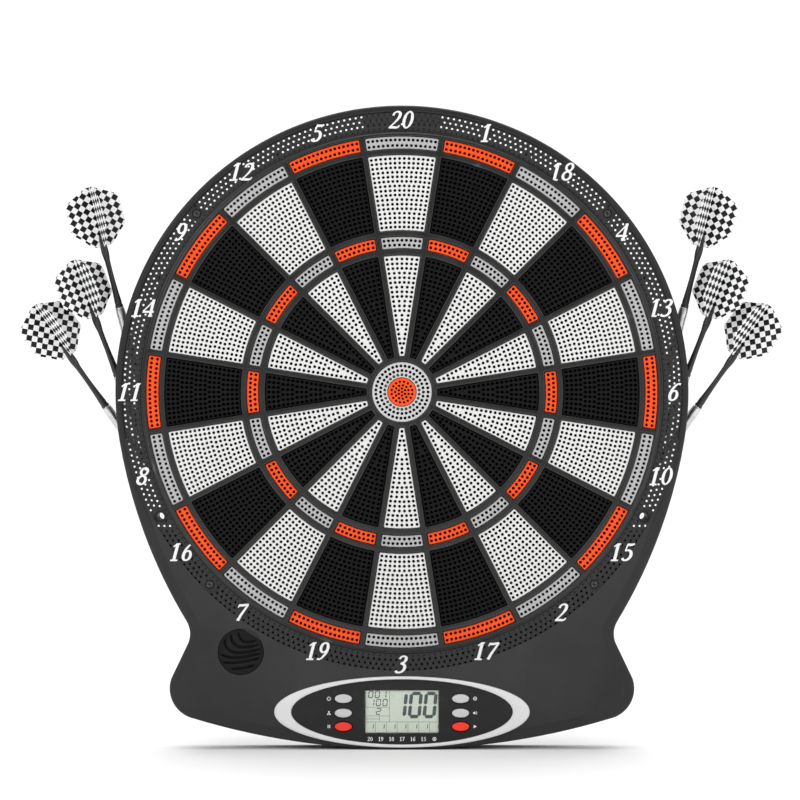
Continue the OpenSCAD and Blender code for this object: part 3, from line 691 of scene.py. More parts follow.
def build_bulls():
    outer = Shape()
    ring_in = EYE_R + 0.4
    profile = [(BULL_R + LIP, FLANGE_BACK), (BULL_R + LIP, FLANGE_FRONT), (BULL_R, FLANGE_FRONT),
               (BULL_R, FACE - 0.6), (BULL_R - 0.2, FACE - 0.2), (BULL_R - 0.6, FACE)]
    foot, edge = outer.rings(profile, 96)
    step = EYE_R + 2.2
    eye = [(step, FLANGE_BACK), (step, FLANGE_FRONT + 1.8), (ring_in, FLANGE_FRONT + 1.8),
           (ring_in, FACE - 0.3), (ring_in + 0.3, FACE)]
    eye_foot, eye_edge = outer.rings(eye, 96)
    places = [polar(r, 2 * pi * k / n) for r, n in ((17.4, 39), (14.3, 32)) for k in range(n)]
    through = bores(outer, places, FLANGE_BACK, FACE, bore=1)
    inner_row = [polar(11.5, 2 * pi * (k + 0.5) / 26) for k in range(26)]
    blind = bores(outer, inner_row, FLANGE_FRONT + 2.4, FACE, bore=1)
    outer.plate(edge, [eye_edge, *through.fronts, *blind.fronts])
    outer.plate(foot, [eye_foot, *through.backs])
    # Painted shade on the floors of the blind holes, as on all the bore walls
    for floor in blind.backs:
        outer.face(floor, 1)
    piece(outer, "outer_bull", "bull_outer", [GREY_BULL, HOLE_SHADE], ["bull_outer"])

    inner = Shape()
    profile = [(EYE_R + 1.8, FLANGE_BACK), (EYE_R + 1.8, FLANGE_FRONT), (EYE_R, FLANGE_FRONT),
               (EYE_R, FACE - 0.5), (EYE_R - 0.15, FACE - 0.2), (EYE_R - 0.45, FACE)]
    foot, edge = inner.rings(profile, 64)
    places = [(0, 0)]
    for r, n in ((2.35, 6), (4.5, 11), (6.95, 16)):
        places += [polar(r, 2 * pi * (k + 0.5) / n) for k in range(n)]
    # Bore walls of the eye get the painted red hole shade
    through = bores(inner, places, FLANGE_BACK, FACE, r=0.84, bore=1)
    inner.plate(edge, through.fronts)
    inner.plate(foot, through.backs)
    piece(inner, "inner_bull", "bull_inner", [ORANGE, RED_HOLE_SHADE], ["bull_inner"])


def eared(r):
    """Circle with an ear for each tray screw."""
    ears = [radians(a) for a in TRAY_SCREWS]
    ear_r = 3.2
    limit = asin(ear_r / TRAY_SCREW_R)
    angles = [2 * pi * i / 360 for i in range(360)]
    angles += [(a + limit * k * 0.999) % (2 * pi) for a in ears for k in (-1, -0.8, -0.4, 0.4, 0.8, 1)]
    made = []
    for angle in sorted(angles):
        reach = r
        for a in ears:
            off = (angle - a + pi) % (2 * pi) - pi
            if abs(off) < limit:
                reach = max(r, TRAY_SCREW_R * cos(off) + sqrt(ear_r ** 2 - (TRAY_SCREW_R * sin(off)) ** 2))
        made.append(polar(reach, angle))
    return made


def build_spider():
    """Ribs with softened edges round every opening, on the skirt that holds the layers."""
    shape = Shape()
    holes = Openings()
    steps = ((0.95, 0.0), (0.62, 0.12), (0.42, 0.38), (PLAY, 0.75), (PLAY, RIBS_FRONT - RIBS_BACK))
    holes.add(shape.rings([(BULL_R + grow, RIBS_FRONT - down) for grow, down in steps], 96))
    for radii in (DOUBLE, OUTER_SINGLE, TRIPLE, INNER_SINGLE):
        for i in range(len(NUMBERS)):
            holes.add(shape.stack([(turned(wedge(radii, grow), SECTOR * i), RIBS_FRONT - down)
                                   for grow, down in steps]))
    skirt_in, skirt_out, band = DOUBLE[1] + LIP + 0.4, RING_IN + 0.2, RING_IN - 0.2
    profile = [(171.3, RIBS_FRONT), (171.75, RIBS_FRONT - 0.12), (172.7, RIBS_FRONT - 0.75),
               (172.9, RIBS_FRONT - 1.0), (173.1, RING_FRONT + 0.9), (band - 0.25, RING_FRONT + 0.75),
               (band, RING_FRONT + 0.5), (band, RIBS_BACK + 1.0)]
    edge, outer = shape.rings(profile, 360)
    ears_top = shape.loop(eared(skirt_out), RIBS_BACK + 1.0)
    ears_back = shape.loop(eared(skirt_out), SKIRT_BACK)
    shape.plate(ears_top, [outer])
    shape.band(ears_top, ears_back)
    inside_back = shape.loop(circle(skirt_in, 360), SKIRT_BACK)
    inside_top = shape.loop(circle(skirt_in, 360), RIBS_BACK)
    shape.plate(ears_back, [inside_back])
    shape.band(inside_back, inside_top)
    shape.plate(edge, holes.fronts)
    shape.plate(inside_top, holes.backs)
    piece(shape, "spider_frame", BODY, [SPIDER], ["spider"])


# ---- Number ring ----

def near(p, places, reach):
    return any(hypot(p[0] - x, p[1] - z) < reach for x, z in places)


def build_number_ring():
    """Perforated ring with a pricked inner row, sunk screw seats and bores for the wall screws."""
    shape = Shape()
    sides = 2 * HOLES_PER_ROW
    seats = [polar(RING_SCREW_R, radians(a)) for a in RING_SCREWS]
    wall = [WALL_SCREW, (-WALL_SCREW[0], WALL_SCREW[1])]
    digits = [place for i, number in enumerate(NUMBERS)
              for place in digit_centres(str(number), number_centre(i))]
    places = []
    for row, r in enumerate(HOLE_ROWS):
        for k in range(HOLES_PER_ROW):
            p = polar(r, 2 * pi * (k + 0.5 * (row % 2)) / HOLES_PER_ROW)
            if not (near(p, seats, 4.4) or near(p, wall, 5.5) or near(p, digits, 3.6)):
                places.append(p)
    holes = bores(shape, places, RING_BACK, RING_FRONT, r=0.78, rim=0.14)
    seat = [(3.05, RING_FRONT), (2.8, RING_FRONT - 0.25), (2.8, RING_FRONT - 1.1), (1.6, RING_FRONT - 1.1),
            (1.6, RING_BACK)]
    for p in seats:
        holes.add(shape.rings(seat, 24, p))
    for p in wall:
        holes.add(shape.rings([(4.1, RING_FRONT), (3.7, RING_FRONT - 0.4), (3.7, RING_BACK)], 32, p))
    pricks = [polar(PRICKED_ROW + 0.35 * (k % 2), 2 * pi * k / HOLES_PER_ROW) for k in range(HOLES_PER_ROW)]
    pricked = bores(shape, pricks, RING_FRONT - 0.8, RING_FRONT, r=0.5, sides=8)
    for floor in pricked.backs:
        shape.face(floor)
    edge, foot = shape.rings([(186.15, RING_FRONT), (186.3, RING_FRONT - 0.15), (186.3, RING_FRONT - 0.9),
                              (RING_OUT, RING_FRONT - 0.9), (RING_OUT, RING_BACK)], sides)
    lip_edge, lip_foot = shape.rings([(RING_IN + 0.25, RING_FRONT), (RING_IN, RING_FRONT - 0.25),
                                      (RING_IN, RING_BACK)], sides)
    shape.plate(edge, [lip_edge, *holes.fronts, *pricked.fronts])
    shape.plate(foot, [lip_foot, *holes.backs])
    piece(shape, "number_ring", BODY, [RING], ["catch_ring"])


def loop_strokes(cx, cz, a, b, thick, thin, steps=28):
    """Closed oval stroke, thick at its sides and thin at its top and bottom."""
    points = []
    for i in range(steps):
        angle = 2 * pi * i / steps
        points.append((cx + a * cos(angle), cz + b * sin(angle), thin + (thick - thin) * cos(angle) ** 2))
    return stroke(points, closed=True)


SIX = [(0.55, 0.92, 0.12), (0.44, 0.96, 0.09), (0.30, 0.87, 0.11), (0.16, 0.64, 0.15), (0.10, 0.36, 0.17),
       (0.15, 0.13, 0.14), (0.29, 0.045, 0.09), (0.44, 0.13, 0.14), (0.49, 0.31, 0.16), (0.43, 0.50, 0.12),
       (0.30, 0.57, 0.09), (0.17, 0.48, 0.08)]
# Pen strokes of the other digits, as (x, z, width) points
DIGITS = {
    "1": [[(0.32, 0.02, 0.17), (0.32, 0.97, 0.17)],
          [(0.12, 0.80, 0.07), (0.22, 0.88, 0.10), (0.34, 0.96, 0.08)],
          [(0.12, 0.04, 0.09), (0.52, 0.04, 0.09)],
          [(0.24, 0.955, 0.08), (0.46, 0.955, 0.08)]],
    "2": [[(0.10, 0.74, 0.13), (0.14, 0.87, 0.11), (0.29, 0.955, 0.09), (0.45, 0.88, 0.14),
           (0.48, 0.72, 0.17), (0.40, 0.52, 0.13), (0.24, 0.29, 0.09), (0.04, 0.06, 0.08)],
          [(0.02, 0.06, 0.10), (0.22, 0.075, 0.13), (0.42, 0.065, 0.12), (0.54, 0.10, 0.09),
           (0.58, 0.20, 0.07)]],
    "3": [[(0.10, 0.80, 0.13), (0.16, 0.91, 0.11), (0.30, 0.955, 0.09), (0.44, 0.88, 0.14),
           (0.46, 0.75, 0.16), (0.37, 0.61, 0.12), (0.21, 0.545, 0.09)],
          [(0.21, 0.545, 0.09), (0.41, 0.49, 0.13), (0.50, 0.31, 0.17), (0.42, 0.12, 0.14),
           (0.25, 0.045, 0.10), (0.10, 0.07, 0.12), (0.04, 0.15, 0.14)]],
    "4": [[(0.50, 0.96, 0.10), (0.27, 0.64, 0.08), (0.02, 0.32, 0.08)],
          [(0.00, 0.28, 0.11), (0.63, 0.28, 0.11)],
          [(0.46, 0.02, 0.16), (0.46, 0.97, 0.16)],
          [(0.36, 0.04, 0.08), (0.60, 0.04, 0.08)]],
    "5": [[(0.14, 0.91, 0.14), (0.36, 0.91, 0.13), (0.55, 0.95, 0.09)],
          [(0.16, 0.93, 0.08), (0.12, 0.56, 0.08)],
          [(0.12, 0.56, 0.08), (0.27, 0.61, 0.10), (0.43, 0.51, 0.15), (0.48, 0.31, 0.17),
           (0.39, 0.12, 0.14), (0.23, 0.045, 0.10), (0.10, 0.08, 0.12), (0.05, 0.17, 0.13)]],
    "6": [SIX],
    "7": [[(0.04, 0.89, 0.13), (0.30, 0.90, 0.13), (0.56, 0.94, 0.12)],
          [(0.07, 0.94, 0.07), (0.03, 0.77, 0.07)],
          [(0.56, 0.95, 0.10), (0.42, 0.65, 0.13), (0.28, 0.35, 0.15), (0.18, 0.03, 0.17)]],
    "9": [[(0.58 - x, 1 - z, w) for x, z, w in SIX]],
}
ADVANCE = 0.69        # from one digit of a number to the next, in heights


def digit_quads(digit):
    """Quads of one upright digit, one unit high."""
    if digit == "0":
        return loop_strokes(0.30, 0.5, 0.215, 0.45, 0.165, 0.085)
    if digit == "8":
        return (loop_strokes(0.32, 0.755, 0.18, 0.20, 0.145, 0.10)
                + loop_strokes(0.28, 0.275, 0.215, 0.23, 0.155, 0.10))
    return [quad for points in DIGITS[digit] for quad in stroke(smooth(points))]


def number_centre(i):
    return polar(NUMBER_R, pi / 2 - SECTOR * i)


def digit_centres(text, centre):
    """Middles of a ring number's digits."""
    return [(centre[0] + NUMBER_HEIGHT * ADVANCE * (k - (len(text) - 1) / 2), centre[1])
            for k in range(len(text))]


def number_quads(text, centre, height, slant=0.26):
    """Quads of a whole number, centred on a point."""
    width = ADVANCE * (len(text) - 1) + 0.60
    quads = []
    for i, digit in enumerate(text):
        for quad in digit_quads(digit):
            quads.append([(centre[0] + height * (x + ADVANCE * i - width / 2 + slant * (z - 0.5)),
                           centre[1] + height * (z - 0.5)) for x, z in quad])
    return quads


def build_numbers():
    for i, number in enumerate(NUMBERS):
        shape = Shape()
        shape.slab(number_quads(str(number), number_centre(i), NUMBER_HEIGHT), RING_FRONT, RING_FRONT + 0.8)
        piece(shape, f"number_{number}", BODY, [PRINT], bevel=0.12, limit=60)


# ---- Screws ----

def screw_head(shape, centre, r, seat, top, sides=28):
    """Pan head with a cross recess, from its seat to its top, which may face either way."""
    up = top - seat
    dome = ((1, 0), (1, 0.45), (0.95, 0.68), (0.84, 0.86), (0.66, 0.97), (0.6, 1))
    first, last = shape.rings([(k * r, seat + f * up) for k, f in dome], sides, centre)
    arm, half = 0.50 * r, 0.13 * r

    def cross(k, w):
        corners = ((k, w), (w, w), (w, k), (-w, k), (-w, w), (-k, w),
                   (-k, -w), (-w, -w), (-w, -k), (w, -k), (w, -w), (k, -w))
        return [(centre[0] + x, centre[1] + z) for x, z in corners]

    mouth, floor = shape.stack([(cross(arm, half), top), (cross(arm * 0.5, half * 0.7), top - 0.6 * up)])
    shape.plate(last, [mouth])
    shape.face(floor)
    shape.face(first)


def screw(name, centre, r, seat, top, shank, turns, finish, node):
    """Screw with a shank of (radius, thread depth, step) from its seat."""
    shape = Shape()
    screw_head(shape, centre, r, seat, top)
    shape.lathe([(shank[0] - shank[1] * (i % 2), seat + shank[2] * i) for i in range(turns)], 16, centre)
    piece(shape, name, BODY, [finish], [node])


def build_screws():
    for k, a in enumerate(RING_SCREWS, 1):
        screw(f"ring_screw_{k}", polar(RING_SCREW_R, radians(a)), 2.5, RING_FRONT - 1.1, RING_FRONT + 0.5,
              (1.4, 0.25, -0.35), 36, COATED, "ring_screws")
    rear = [(polar(TRAY_SCREW_R, radians(a)), 2.4, 11.5, 9.5) for a in TRAY_SCREWS]
    rear += [(p, 2.5, 2.5, 0.8) for p in BASE_SCREWS]
    for k, row in enumerate(rear, 1):
        screw(f"cover_screw_{k}", *row, (1.2, 0.22, 0.35), 28, SCREW, "housing_screws")
    for k, p in enumerate(BOARD_SCREWS, 1):
        screw(f"board_screw_{k}", p, 2.4, BOARD_FRONT, 19.1, (1.2, 0.22, -0.35), 24, SCREW, "housing_screws")


# ---- Housing ----

FLANK_C = (-(FLANK_R - RIM_OUT) * cos(FLANK_START), (FLANK_R - RIM_OUT) * sin(FLANK_START))
WAIST_C = polar(FLANK_R + WAIST_R, -FLANK_END, FLANK_C)
BOTTOM_C = (0, BOTTOM_R - DROP)
CORNER_C = polar(BOTTOM_R - CORNER_R, -FOOT, BOTTOM_C)
REACH = (CORNER_C[0] - WAIST_C[0], CORNER_C[1] - WAIST_C[1])
FLARE = 2 * pi + atan2(REACH[1], REACH[0]) - acos((WAIST_R + CORNER_R) / hypot(*REACH))
HIDDEN_R = BASE_EDGE + 0.5
UPPER_STEPS = 6


def clear_of_parts(x, z):
    """Moves a point of the base's outline out from behind the rim and the panel trim."""
    out = max(1, HIDDEN_R / hypot(x, z))
    x, z = x * out, z * out
    a, b = TRIM_A - 0.8, TRIM_B - 0.6
    out = max(1, 1 / hypot(x / a, (z - PANEL_Z) / b))
    return (x * out, PANEL_Z + (z - PANEL_Z) * out)


def base_side(inset):
    """Right side of the base from the rim to the middle of its foot. Two points meet at the shoulder."""
    r = FLANK_R - inset
    shoulder = asin((SHOULDER - FLANK_C[1]) / r)
    side = arc(FLANK_C, r, -FLANK_START, shoulder, UPPER_STEPS - 1)
    side += arc(FLANK_C, r, shoulder, -FLANK_END, 8)
    side += arc(WAIST_C, WAIST_R + inset, pi - FLANK_END, FLARE, 14)[1:]
    side += arc(CORNER_C, CORNER_R - inset, FLARE - pi, -FOOT, 16)[1:]
    side += arc(BOTTOM_C, BOTTOM_R - inset, -FOOT, -pi / 2, 14)[1:]
    return [clear_of_parts(x, z) for x, z in side]


def base_loop(inset):
    """Outline of the base, closed by an arc that the rim hides."""
    right = base_side(inset)
    left = [(-x, z) for x, z in reversed(right[:-1])]
    hidden = arc((0, 0), BASE_EDGE, pi + FLANK_START, 2 * pi - FLANK_START, 120)
    return right + left + hidden


def base_depths(upper, lower, hidden):
    """Depths round a base_loop: above the shoulder, below it, and along the hidden arc."""
    total, arc_points = len(base_loop(0)), 121
    sides = total - arc_points
    made = [upper if i < UPPER_STEPS or i >= sides - UPPER_STEPS else lower for i in range(sides)]
    return made + [hidden] * arc_points


def build_rim():
    """Round rim with lugs for the ring screws and posts for the wall screws."""
    rim = Shape()
    profile = [(RIM_IN, RIM_BACK + 0.4), (RIM_IN, RING_FRONT - 0.8), (RIM_EDGE, RING_FRONT - 0.8),
               (RIM_EDGE, FRONT - 0.25), (RIM_EDGE + 0.25, FRONT - 0.05), (RIM_EDGE + 0.8, FRONT - 0.01),
               (RIM_OUT - 1.9, FRONT - 0.05), (RIM_OUT - 1.1, FRONT - 0.3), (RIM_OUT - 0.45, FRONT - 0.9),
               (RIM_OUT - 0.1, FRONT - 1.8), (RIM_OUT, FRONT - 3), (RIM_OUT, RIM_BACK + 0.5),
               (RIM_OUT - 0.4, RIM_BACK), (RIM_IN + 0.4, RIM_BACK)]
    rim.lathe(profile, 360, closed=True)
    for a in RING_SCREWS:
        lug = box_outline(RING_SCREW_R - 4.5, RIM_IN + 0.8, -4.5, 4.5, 1.2)
        rim.slab([turned(lug, -radians(a))], RING_BACK - 2.6, RING_BACK - 0.1)
    for sign in (-1, 1):
        post = [(5.5, COVER_FRONT), (5.5, RING_BACK - 0.1), (2.6, RING_BACK - 0.1), (2.6, COVER_FRONT)]
        rim.lathe(post, 32, (sign * WALL_SCREW[0], WALL_SCREW[1]), closed=True)
    piece(rim, "rim", BODY, [RIM], ["front_housing"])


def build_base():
    """Hollow base under the rim, open for the panel trim and the speaker grille."""
    base = Shape()
    lip = RING_FRONT + 0.08
    edge = [(0, base_depths(RIM_BACK, COVER_FRONT, lip)), (0, base_depths(FRONT - 2.2, FRONT - 2.2, lip))]
    rounding = ((0.15, 1.5, 0.2), (0.6, 0.9, 0.15), (1.3, 0.55, 0.1), (2.3, 0.38, 0.06), (6.9, 0.26, 0.04),
                (7.15, 0.2, 0.02), (7.5, 0, 0))
    edge += [(inset, base_depths(FRONT - drop, FRONT - drop, FRONT - top)) for inset, drop, top in rounding]
    back, front = base.stack([(base_loop(inset), d) for inset, d in edge])
    inner_back, inner_front = base.stack([
        (base_loop(SKIN), base_depths(RIM_BACK, COVER_FRONT, lip)),
        (base_loop(SKIN), base_depths(RING_BACK, RING_BACK, lip))])
    base.band(back, inner_back)
    a, b = TRIM_A - 2.4, TRIM_B - 1.2
    trim_front, trim_back = base.ovals([(a + 0.1, b + 0.1, FRONT), (a, b, FRONT - 0.3), (a, b, RING_BACK)],
                                       160, (0, PANEL_Z))
    grille_front, grille_back = base.rings([(15.9, FRONT), (15.4, FRONT - 0.3), (15.4, RING_BACK)],
                                           96, centre_of("speaker_grille"))
    base.plate(front, [trim_front, grille_front])
    base.plate(inner_front, [trim_back, grille_back])
    piece(base, "base_shell", BODY, [HOUSING], ["front_housing"])


def build_shoulder_wall():
    """Wall that closes the base behind the rim, in two steps that clear the rear cover's drum."""
    wall = Shape()
    inside = base_loop(SKIN - 0.4)
    for r, back, front in ((168.4, COVER_FRONT, 13.2), (174.8, 13.2, RING_BACK)):
        for sign in (-1, 1):
            limit = max(sign * x for x, z in inside if abs(z - SHOULDER) < 6) + 0.6
            lo = sqrt(r * r - SHOULDER ** 2) - 3
            block = box_outline(*sorted((sign * lo, sign * limit)), SHOULDER - SKIN, SHOULDER)
            wall.slab([block], back, front, [circle(r, 240)])
    piece(wall, "shoulder_wall", BODY, [HOUSING], ["front_housing"], bevel=0.3)


# ---- Panel ----

def build_trim():
    shape = Shape()
    seat = FRONT + 0.05
    # How far each loop lies inside the outer edge, across and up, and its depth
    rim = ((2.6, 1.4, TRIM_BACK), (2.6, 1.4, seat), (0, 0, seat), (0, 0, 29.8), (0.3, 0.12, 30.35),
           (1.1, 0.32, 30.75), (3, 0.65, 30.95), (6, 1.1, TRIM_FRONT), (9.3, 1.55, 30.9), (10.8, 1.85, 30.6),
           (11.2, 1.97, 30.2), (11.3, 2, 29.7), (11.3, 2, TRIM_LEDGE), (14.8, 4.4, TRIM_LEDGE),
           (14.8, 4.4, TRIM_BACK))
    first, last = shape.ovals([(TRIM_A - a, TRIM_B - b, d) for a, b, d in rim], 192, (0, PANEL_Z))
    shape.band(last, first)
    piece(shape, "panel_trim", BODY, [TRIM], ["oval_trim"])


def build_panel():
    """Black fascia with bevelled openings for the window and the six buttons."""
    shape = Shape()
    steps = ((0.45, 0.0), (0.2, 0.12), (0.0, 0.4), (0.0, PANEL_FRONT - PANEL_BACK))
    holes = Openings()
    first, last = shape.ovals([(PANEL_A - g, PANEL_B - g, PANEL_FRONT - down) for g, down in steps],
                              192, (0, PANEL_Z))
    (x0, x1), (z0, z1), _ = span("lcd_window")
    holes.add(shape.stack([
        (box_outline(x0 - 0.1 - g, x1 + 0.1 + g, z0 - 0.1 - g, z1 + 0.1 + g, 1.4 + g), PANEL_FRONT - down)
        for g, down in steps]))
    for name in BUTTONS:
        hole = [(BUTTON_A + 0.35 + g, BUTTON_B + 0.35 + g, PANEL_FRONT - down) for g, down in steps]
        holes.add(shape.ovals(hole, 48, centre_of(f"{name}_button")))
    shape.plate(first, holes.fronts)
    shape.plate(last, holes.backs)
    piece(shape, "panel_fascia", BODY, [PANEL], ["control_panel"])

    lens = Shape()
    _, _, (back, front) = span("lcd_window")
    lens.close(lens.stack([(box_outline(x0 + g, x1 - g, z0 + g, z1 - g, 1.3), d)
                           for g, d in ((0, back), (0, front - 0.2), (0.2, front))]))
    piece(lens, "display_lens", BODY, [LENS], ["lcd_window"])


def build_panel_print():
    """Numbers under the window and a symbol beside each button, printed on the panel."""
    low, top = PANEL_FRONT - 0.1, PANEL_FRONT + 0.05
    line = PANEL_Z - 18.0
    numbers = Shape()
    for k, text in enumerate(("20", "19", "18", "17", "16", "15")):
        numbers.slab(number_quads(text, (-21.2 + 7.1 * k, line), 2.7, slant=0.0), low, top)
    bull = (21.6, line)
    numbers.slab([circle(1.3, 24, bull)], low, top, [circle(0.85, 24, bull)])
    numbers.slab([circle(0.45, 12, bull)], low, top)
    piece(numbers, "panel_numbers", BODY, [PRINT])
    marks = Shape()
    for name in BUTTONS:
        x, z = centre_of(f"{name}_button")
        x += 9.6 if x > 0 else -9.6
        for adds, cuts in symbol(name, x, z):
            marks.slab(adds, low, top, cuts)
    piece(marks, "panel_symbols", BODY, [PRINT])


def bar(x0, z0, x1, z1, width):
    return stroke([(x0, z0, width), (x1, z1, width)])


def bow(x, z, r, start, end, width):
    return stroke([(*p, width) for p in arc((x, z), r, radians(start), radians(end), 14)])


def symbol(name, x, z):
    """Plain sign for a button, as (outlines, cut-outs)."""
    if name == "power":
        return [(bow(x, z - 0.1, 1.15, 125, 415, 0.38) + bar(x, z + 0.2, x, z + 1.45, 0.38), ())]
    if name == "player":
        return [([circle(0.55, 16, (x, z + 0.75))] + bow(x, z - 1.15, 1.0, 0, 180, 0.42)
                 + bar(x - 1.2, z - 1.1, x + 1.2, z - 1.1, 0.35), ())]
    if name == "hold":
        return [(bar(x - 0.55, z - 1.1, x - 0.55, z + 1.1, 0.5)
                 + bar(x + 0.55, z - 1.1, x + 0.55, z + 1.1, 0.5), ())]
    if name == "game":
        return [([circle(1.25, 24, (x, z))], [circle(0.85, 24, (x, z))]), ([circle(0.42, 16, (x, z))], ())]
    if name == "sound":
        horn = [(x - 1.3, z - 0.4), (x - 0.8, z - 0.4), (x, z - 1.1),
                (x, z + 1.1), (x - 0.8, z + 0.4), (x - 1.3, z + 0.4)]
        return [([horn] + bow(x - 0.1, z, 0.75, -50, 50, 0.26) + bow(x - 0.1, z, 1.35, -50, 50, 0.26), ())]
    return [([[(x - 0.9, z - 1.15), (x + 1.2, z), (x - 0.9, z + 1.15)]], ())]


# Bars of the digits shown, and the ends of each bar in widths and heights
LIT = {"0": "abcdef", "1": "bc", "2": "abged"}
BARS = {"a": (0, 1, 1, 1), "b": (1, 1, 1, 0.5), "c": (1, 0.5, 1, 0), "d": (0, 0, 1, 0),
        "e": (0, 0.5, 0, 0), "f": (0, 1, 0, 0.5), "g": (0, 0.5, 1, 0.5)}


def lit_digit(digit, x, z, height, width, slant):
    """Bars of a seven-segment digit whose lower left corner is at x, z."""
    w = 0.15 * height
    bars = []
    for name in LIT[digit]:
        x0, z0, x1, z1 = BARS[name]
        a = Vector((x0 * width, z0 * height))
        b = Vector((x1 * width, z1 * height))
        along = (b - a).normalized()
        side = Vector((-along.y, along.x)) * w / 2
        a, b = a + along * w * 0.1, b - along * w * 0.1
        point = along * w * 0.4
        hexagon = [a, a + point + side, b - point + side, b, b - point - side, a + point - side]
        bars.append([(x + p.x + slant * p.y, z + p.y) for p in hexagon])
    return bars


def build_display():
    """Liquid-crystal cell behind the lens, with its digits, grid and scoring ticks."""
    cell = Shape()
    face = span("lcd_module")[2][1]
    shoulder = 24.6
    # Half width, half height, corner and depth of each loop
    steps = ((30, 16.6, 1, BOARD_FRONT), (30, 16.6, 1, shoulder), (24.4, 14.2, 0.6, shoulder),
             (24.4, 14.2, 0.6, face - 0.3), (24.1, 13.9, 0.6, face))
    cell.close(cell.stack([(box_outline(-a, a, PANEL_Z - b, PANEL_Z + b, corner), d)
                           for a, b, corner, d in steps]))
    piece(cell, "display_cell", BODY, [LCD], ["lcd_module"])

    ink = Shape()
    back, top = face - 0.02, face + 0.04
    groups = (("100", -5.0, -3.3, 15.4, 6.4, 9.9), ("001", -22.3, 9.3, 4.4, 2.7, 4.4),
              ("100", -21.6, 3.9, 4.2, 2.7, 4.4), ("2", -17.1, -1.9, 4.0, 2.6, 4.3))
    for text, x, z, height, width, pitch in groups:
        for k, digit in enumerate(text):
            for outline in lit_digit(digit, x + pitch * k, PANEL_Z + z, height, width, 0.1):
                ink.slab([outline], back, top)
    left, middle, right, low = -23.9, -8.3, 23.9, -6.9
    rules = ((middle, low, middle, 13.8), (left, low, right, low), (left, 2.9, middle, 2.9),
             (left, -2.9, middle, -2.9), (left, -4.9, -15, -4.9), (-15, low, -15, -2.9))
    for x0, z0, x1, z1 in rules:
        ink.slab(bar(x0, PANEL_Z + z0, x1, PANEL_Z + z1, 0.22), back, top)
    for k in range(7):
        x = -17.7 + 7.23 * k
        if k < 6:
            ink.slab(bar(x, PANEL_Z - 13.9, x, PANEL_Z + low, 0.22), back, top)
        ink.slab(bar(x - 1.5, PANEL_Z - 11.3, x - 1.2, PANEL_Z - 8.6, 0.55), back, top)
    piece(ink, "display_ink", BODY, [LCD_INK])


def build_buttons():
    for k, name in enumerate(BUTTONS):
        node = f"{name}_button"
        stem, front = span(node)[2]
        flange = (BUTTON_A + 1.2, BUTTON_B + 1.2)
        layers = [(1.6, 1.6, stem), (1.6, 1.6, front - 6), (*flange, front - 6), (*flange, front - 4.8)]
        layers += [(BUTTON_A - a, BUTTON_B - b, front - down) for a, b, down in (
            (0, 0, 4.8), (0, 0, 0.75), (0.12, 0.1, 0.4), (0.5, 0.38, 0.12), (1.1, 0.85, 0),
            (2.4, 1.6, 0.02), (4, 2.2, 0.06))]
        shape = Shape()
        shape.close(shape.ovals(layers, 48, centre_of(node)))
        slot, finish = ("button_red", KEY_RED) if k % 3 == 2 else ("button_grey", KEY_GREY)
        piece(shape, f"{name}_key", node, [finish], [node])


# Middle line of each slot, from the grille's centre
GRILLE_SLOTS = (
    ((-6.5, -11.2), (-1, -10.9), (5.0, -9.9), (9.2, -8.6)),
    ((-11.8, -6.9), (-5.7, -7.2), (1.9, -6.4), (8.5, -5.0), (12.2, -3.9)),
    ((-12.9, -1.7), (-9.3, -3.1), (-4.2, -3.8), (1.9, -3.3), (8, -2.0), (12.9, -1.1)),
    ((-9.6, 9.0), (-10.6, 6.6), (-9.7, 3.6), (-7.0, 0.9), (-2.7, -0.5), (3.4, -0.1), (9.0, 1.0),
     (12.9, 2.0)),
    ((-6.5, 11.6), (-6.4, 9.5), (-5.1, 6.5), (-2.3, 4.0), (1.9, 3.2), (7.0, 3.7), (11.6, 4.9)),
    ((-1.4, 12.9), (-1.0, 10.6), (0.5, 8.1), (3.4, 6.7), (7.2, 6.9), (10.2, 7.9)),
)


def slot_outline(path, width):
    """Outline of a slot that narrows towards both ends of its path."""
    ends = len(path) - 1
    quads = stroke([(*p, width * min(1, 0.35 + 4 * min(i, ends - i) / ends)) for i, p in enumerate(path)])
    return [q[0] for q in quads] + [quads[-1][3], quads[-1][2]] + [q[1] for q in reversed(quads)]


def build_grille():
    r = (span("speaker_grille")[0][1] - span("speaker_grille")[0][0]) / 2
    back, front = span("speaker_grille")[2]
    cx, cz = centre_of("speaker_grille")
    shape = Shape()
    first, last = shape.rings([(r, back), (r, front - 0.5), (r - 0.15, front - 0.2), (r - 0.5, front)],
                              96, (cx, cz))
    holes = Openings()
    for line in GRILLE_SLOTS:
        path = [(cx + x, cz + z) for x, z in smooth(line, 4)]
        mouth, throat = slot_outline(path, 1.95), slot_outline(path, 1.6)
        head, edge = shape.stack([(mouth, front), (throat, front - 0.25)])
        # Slot walls take paint 1, painted shade for the inside of the slots
        wall, foot = shape.stack([(throat, front - 0.25), (throat, back)], 1)
        shape.band(edge, wall)
        holes.add((head, foot))
    shape.plate(last, holes.fronts)
    shape.plate(first, holes.backs)
    piece(shape, "grille_disc", BODY, [GRILLE, HOLE_SHADE], ["speaker_grille"])


# ---- Darts ----

def dart_place(side, i):
    """Matrix that stands a dart drawn along +Z in its holder."""
    x, z, depth = DARTS[i]
    sign = -1 if side == "left" else 1
    name = f"dart_{side}_{i + 1}_pull"
    axis = next(Vector(j["axis"]) for j in frame["joints"] if j["name"] == name)
    tilt = asin(-axis.y)
    lean = atan2(axis.x, axis.z)
    turn = Matrix.Rotation(lean, 4, "Y") @ Matrix.Rotation(tilt, 4, "X")
    return Matrix.Translation((sign * x * MM, -depth * MM, z * MM)) @ turn


def turned_mesh(name, profile, sides=32):
    """Mesh of (radius, height) points turned about +Z."""
    shape = Shape()
    shape.lathe(profile, sides)
    return mesh_of(shape, name, axis_up=True)


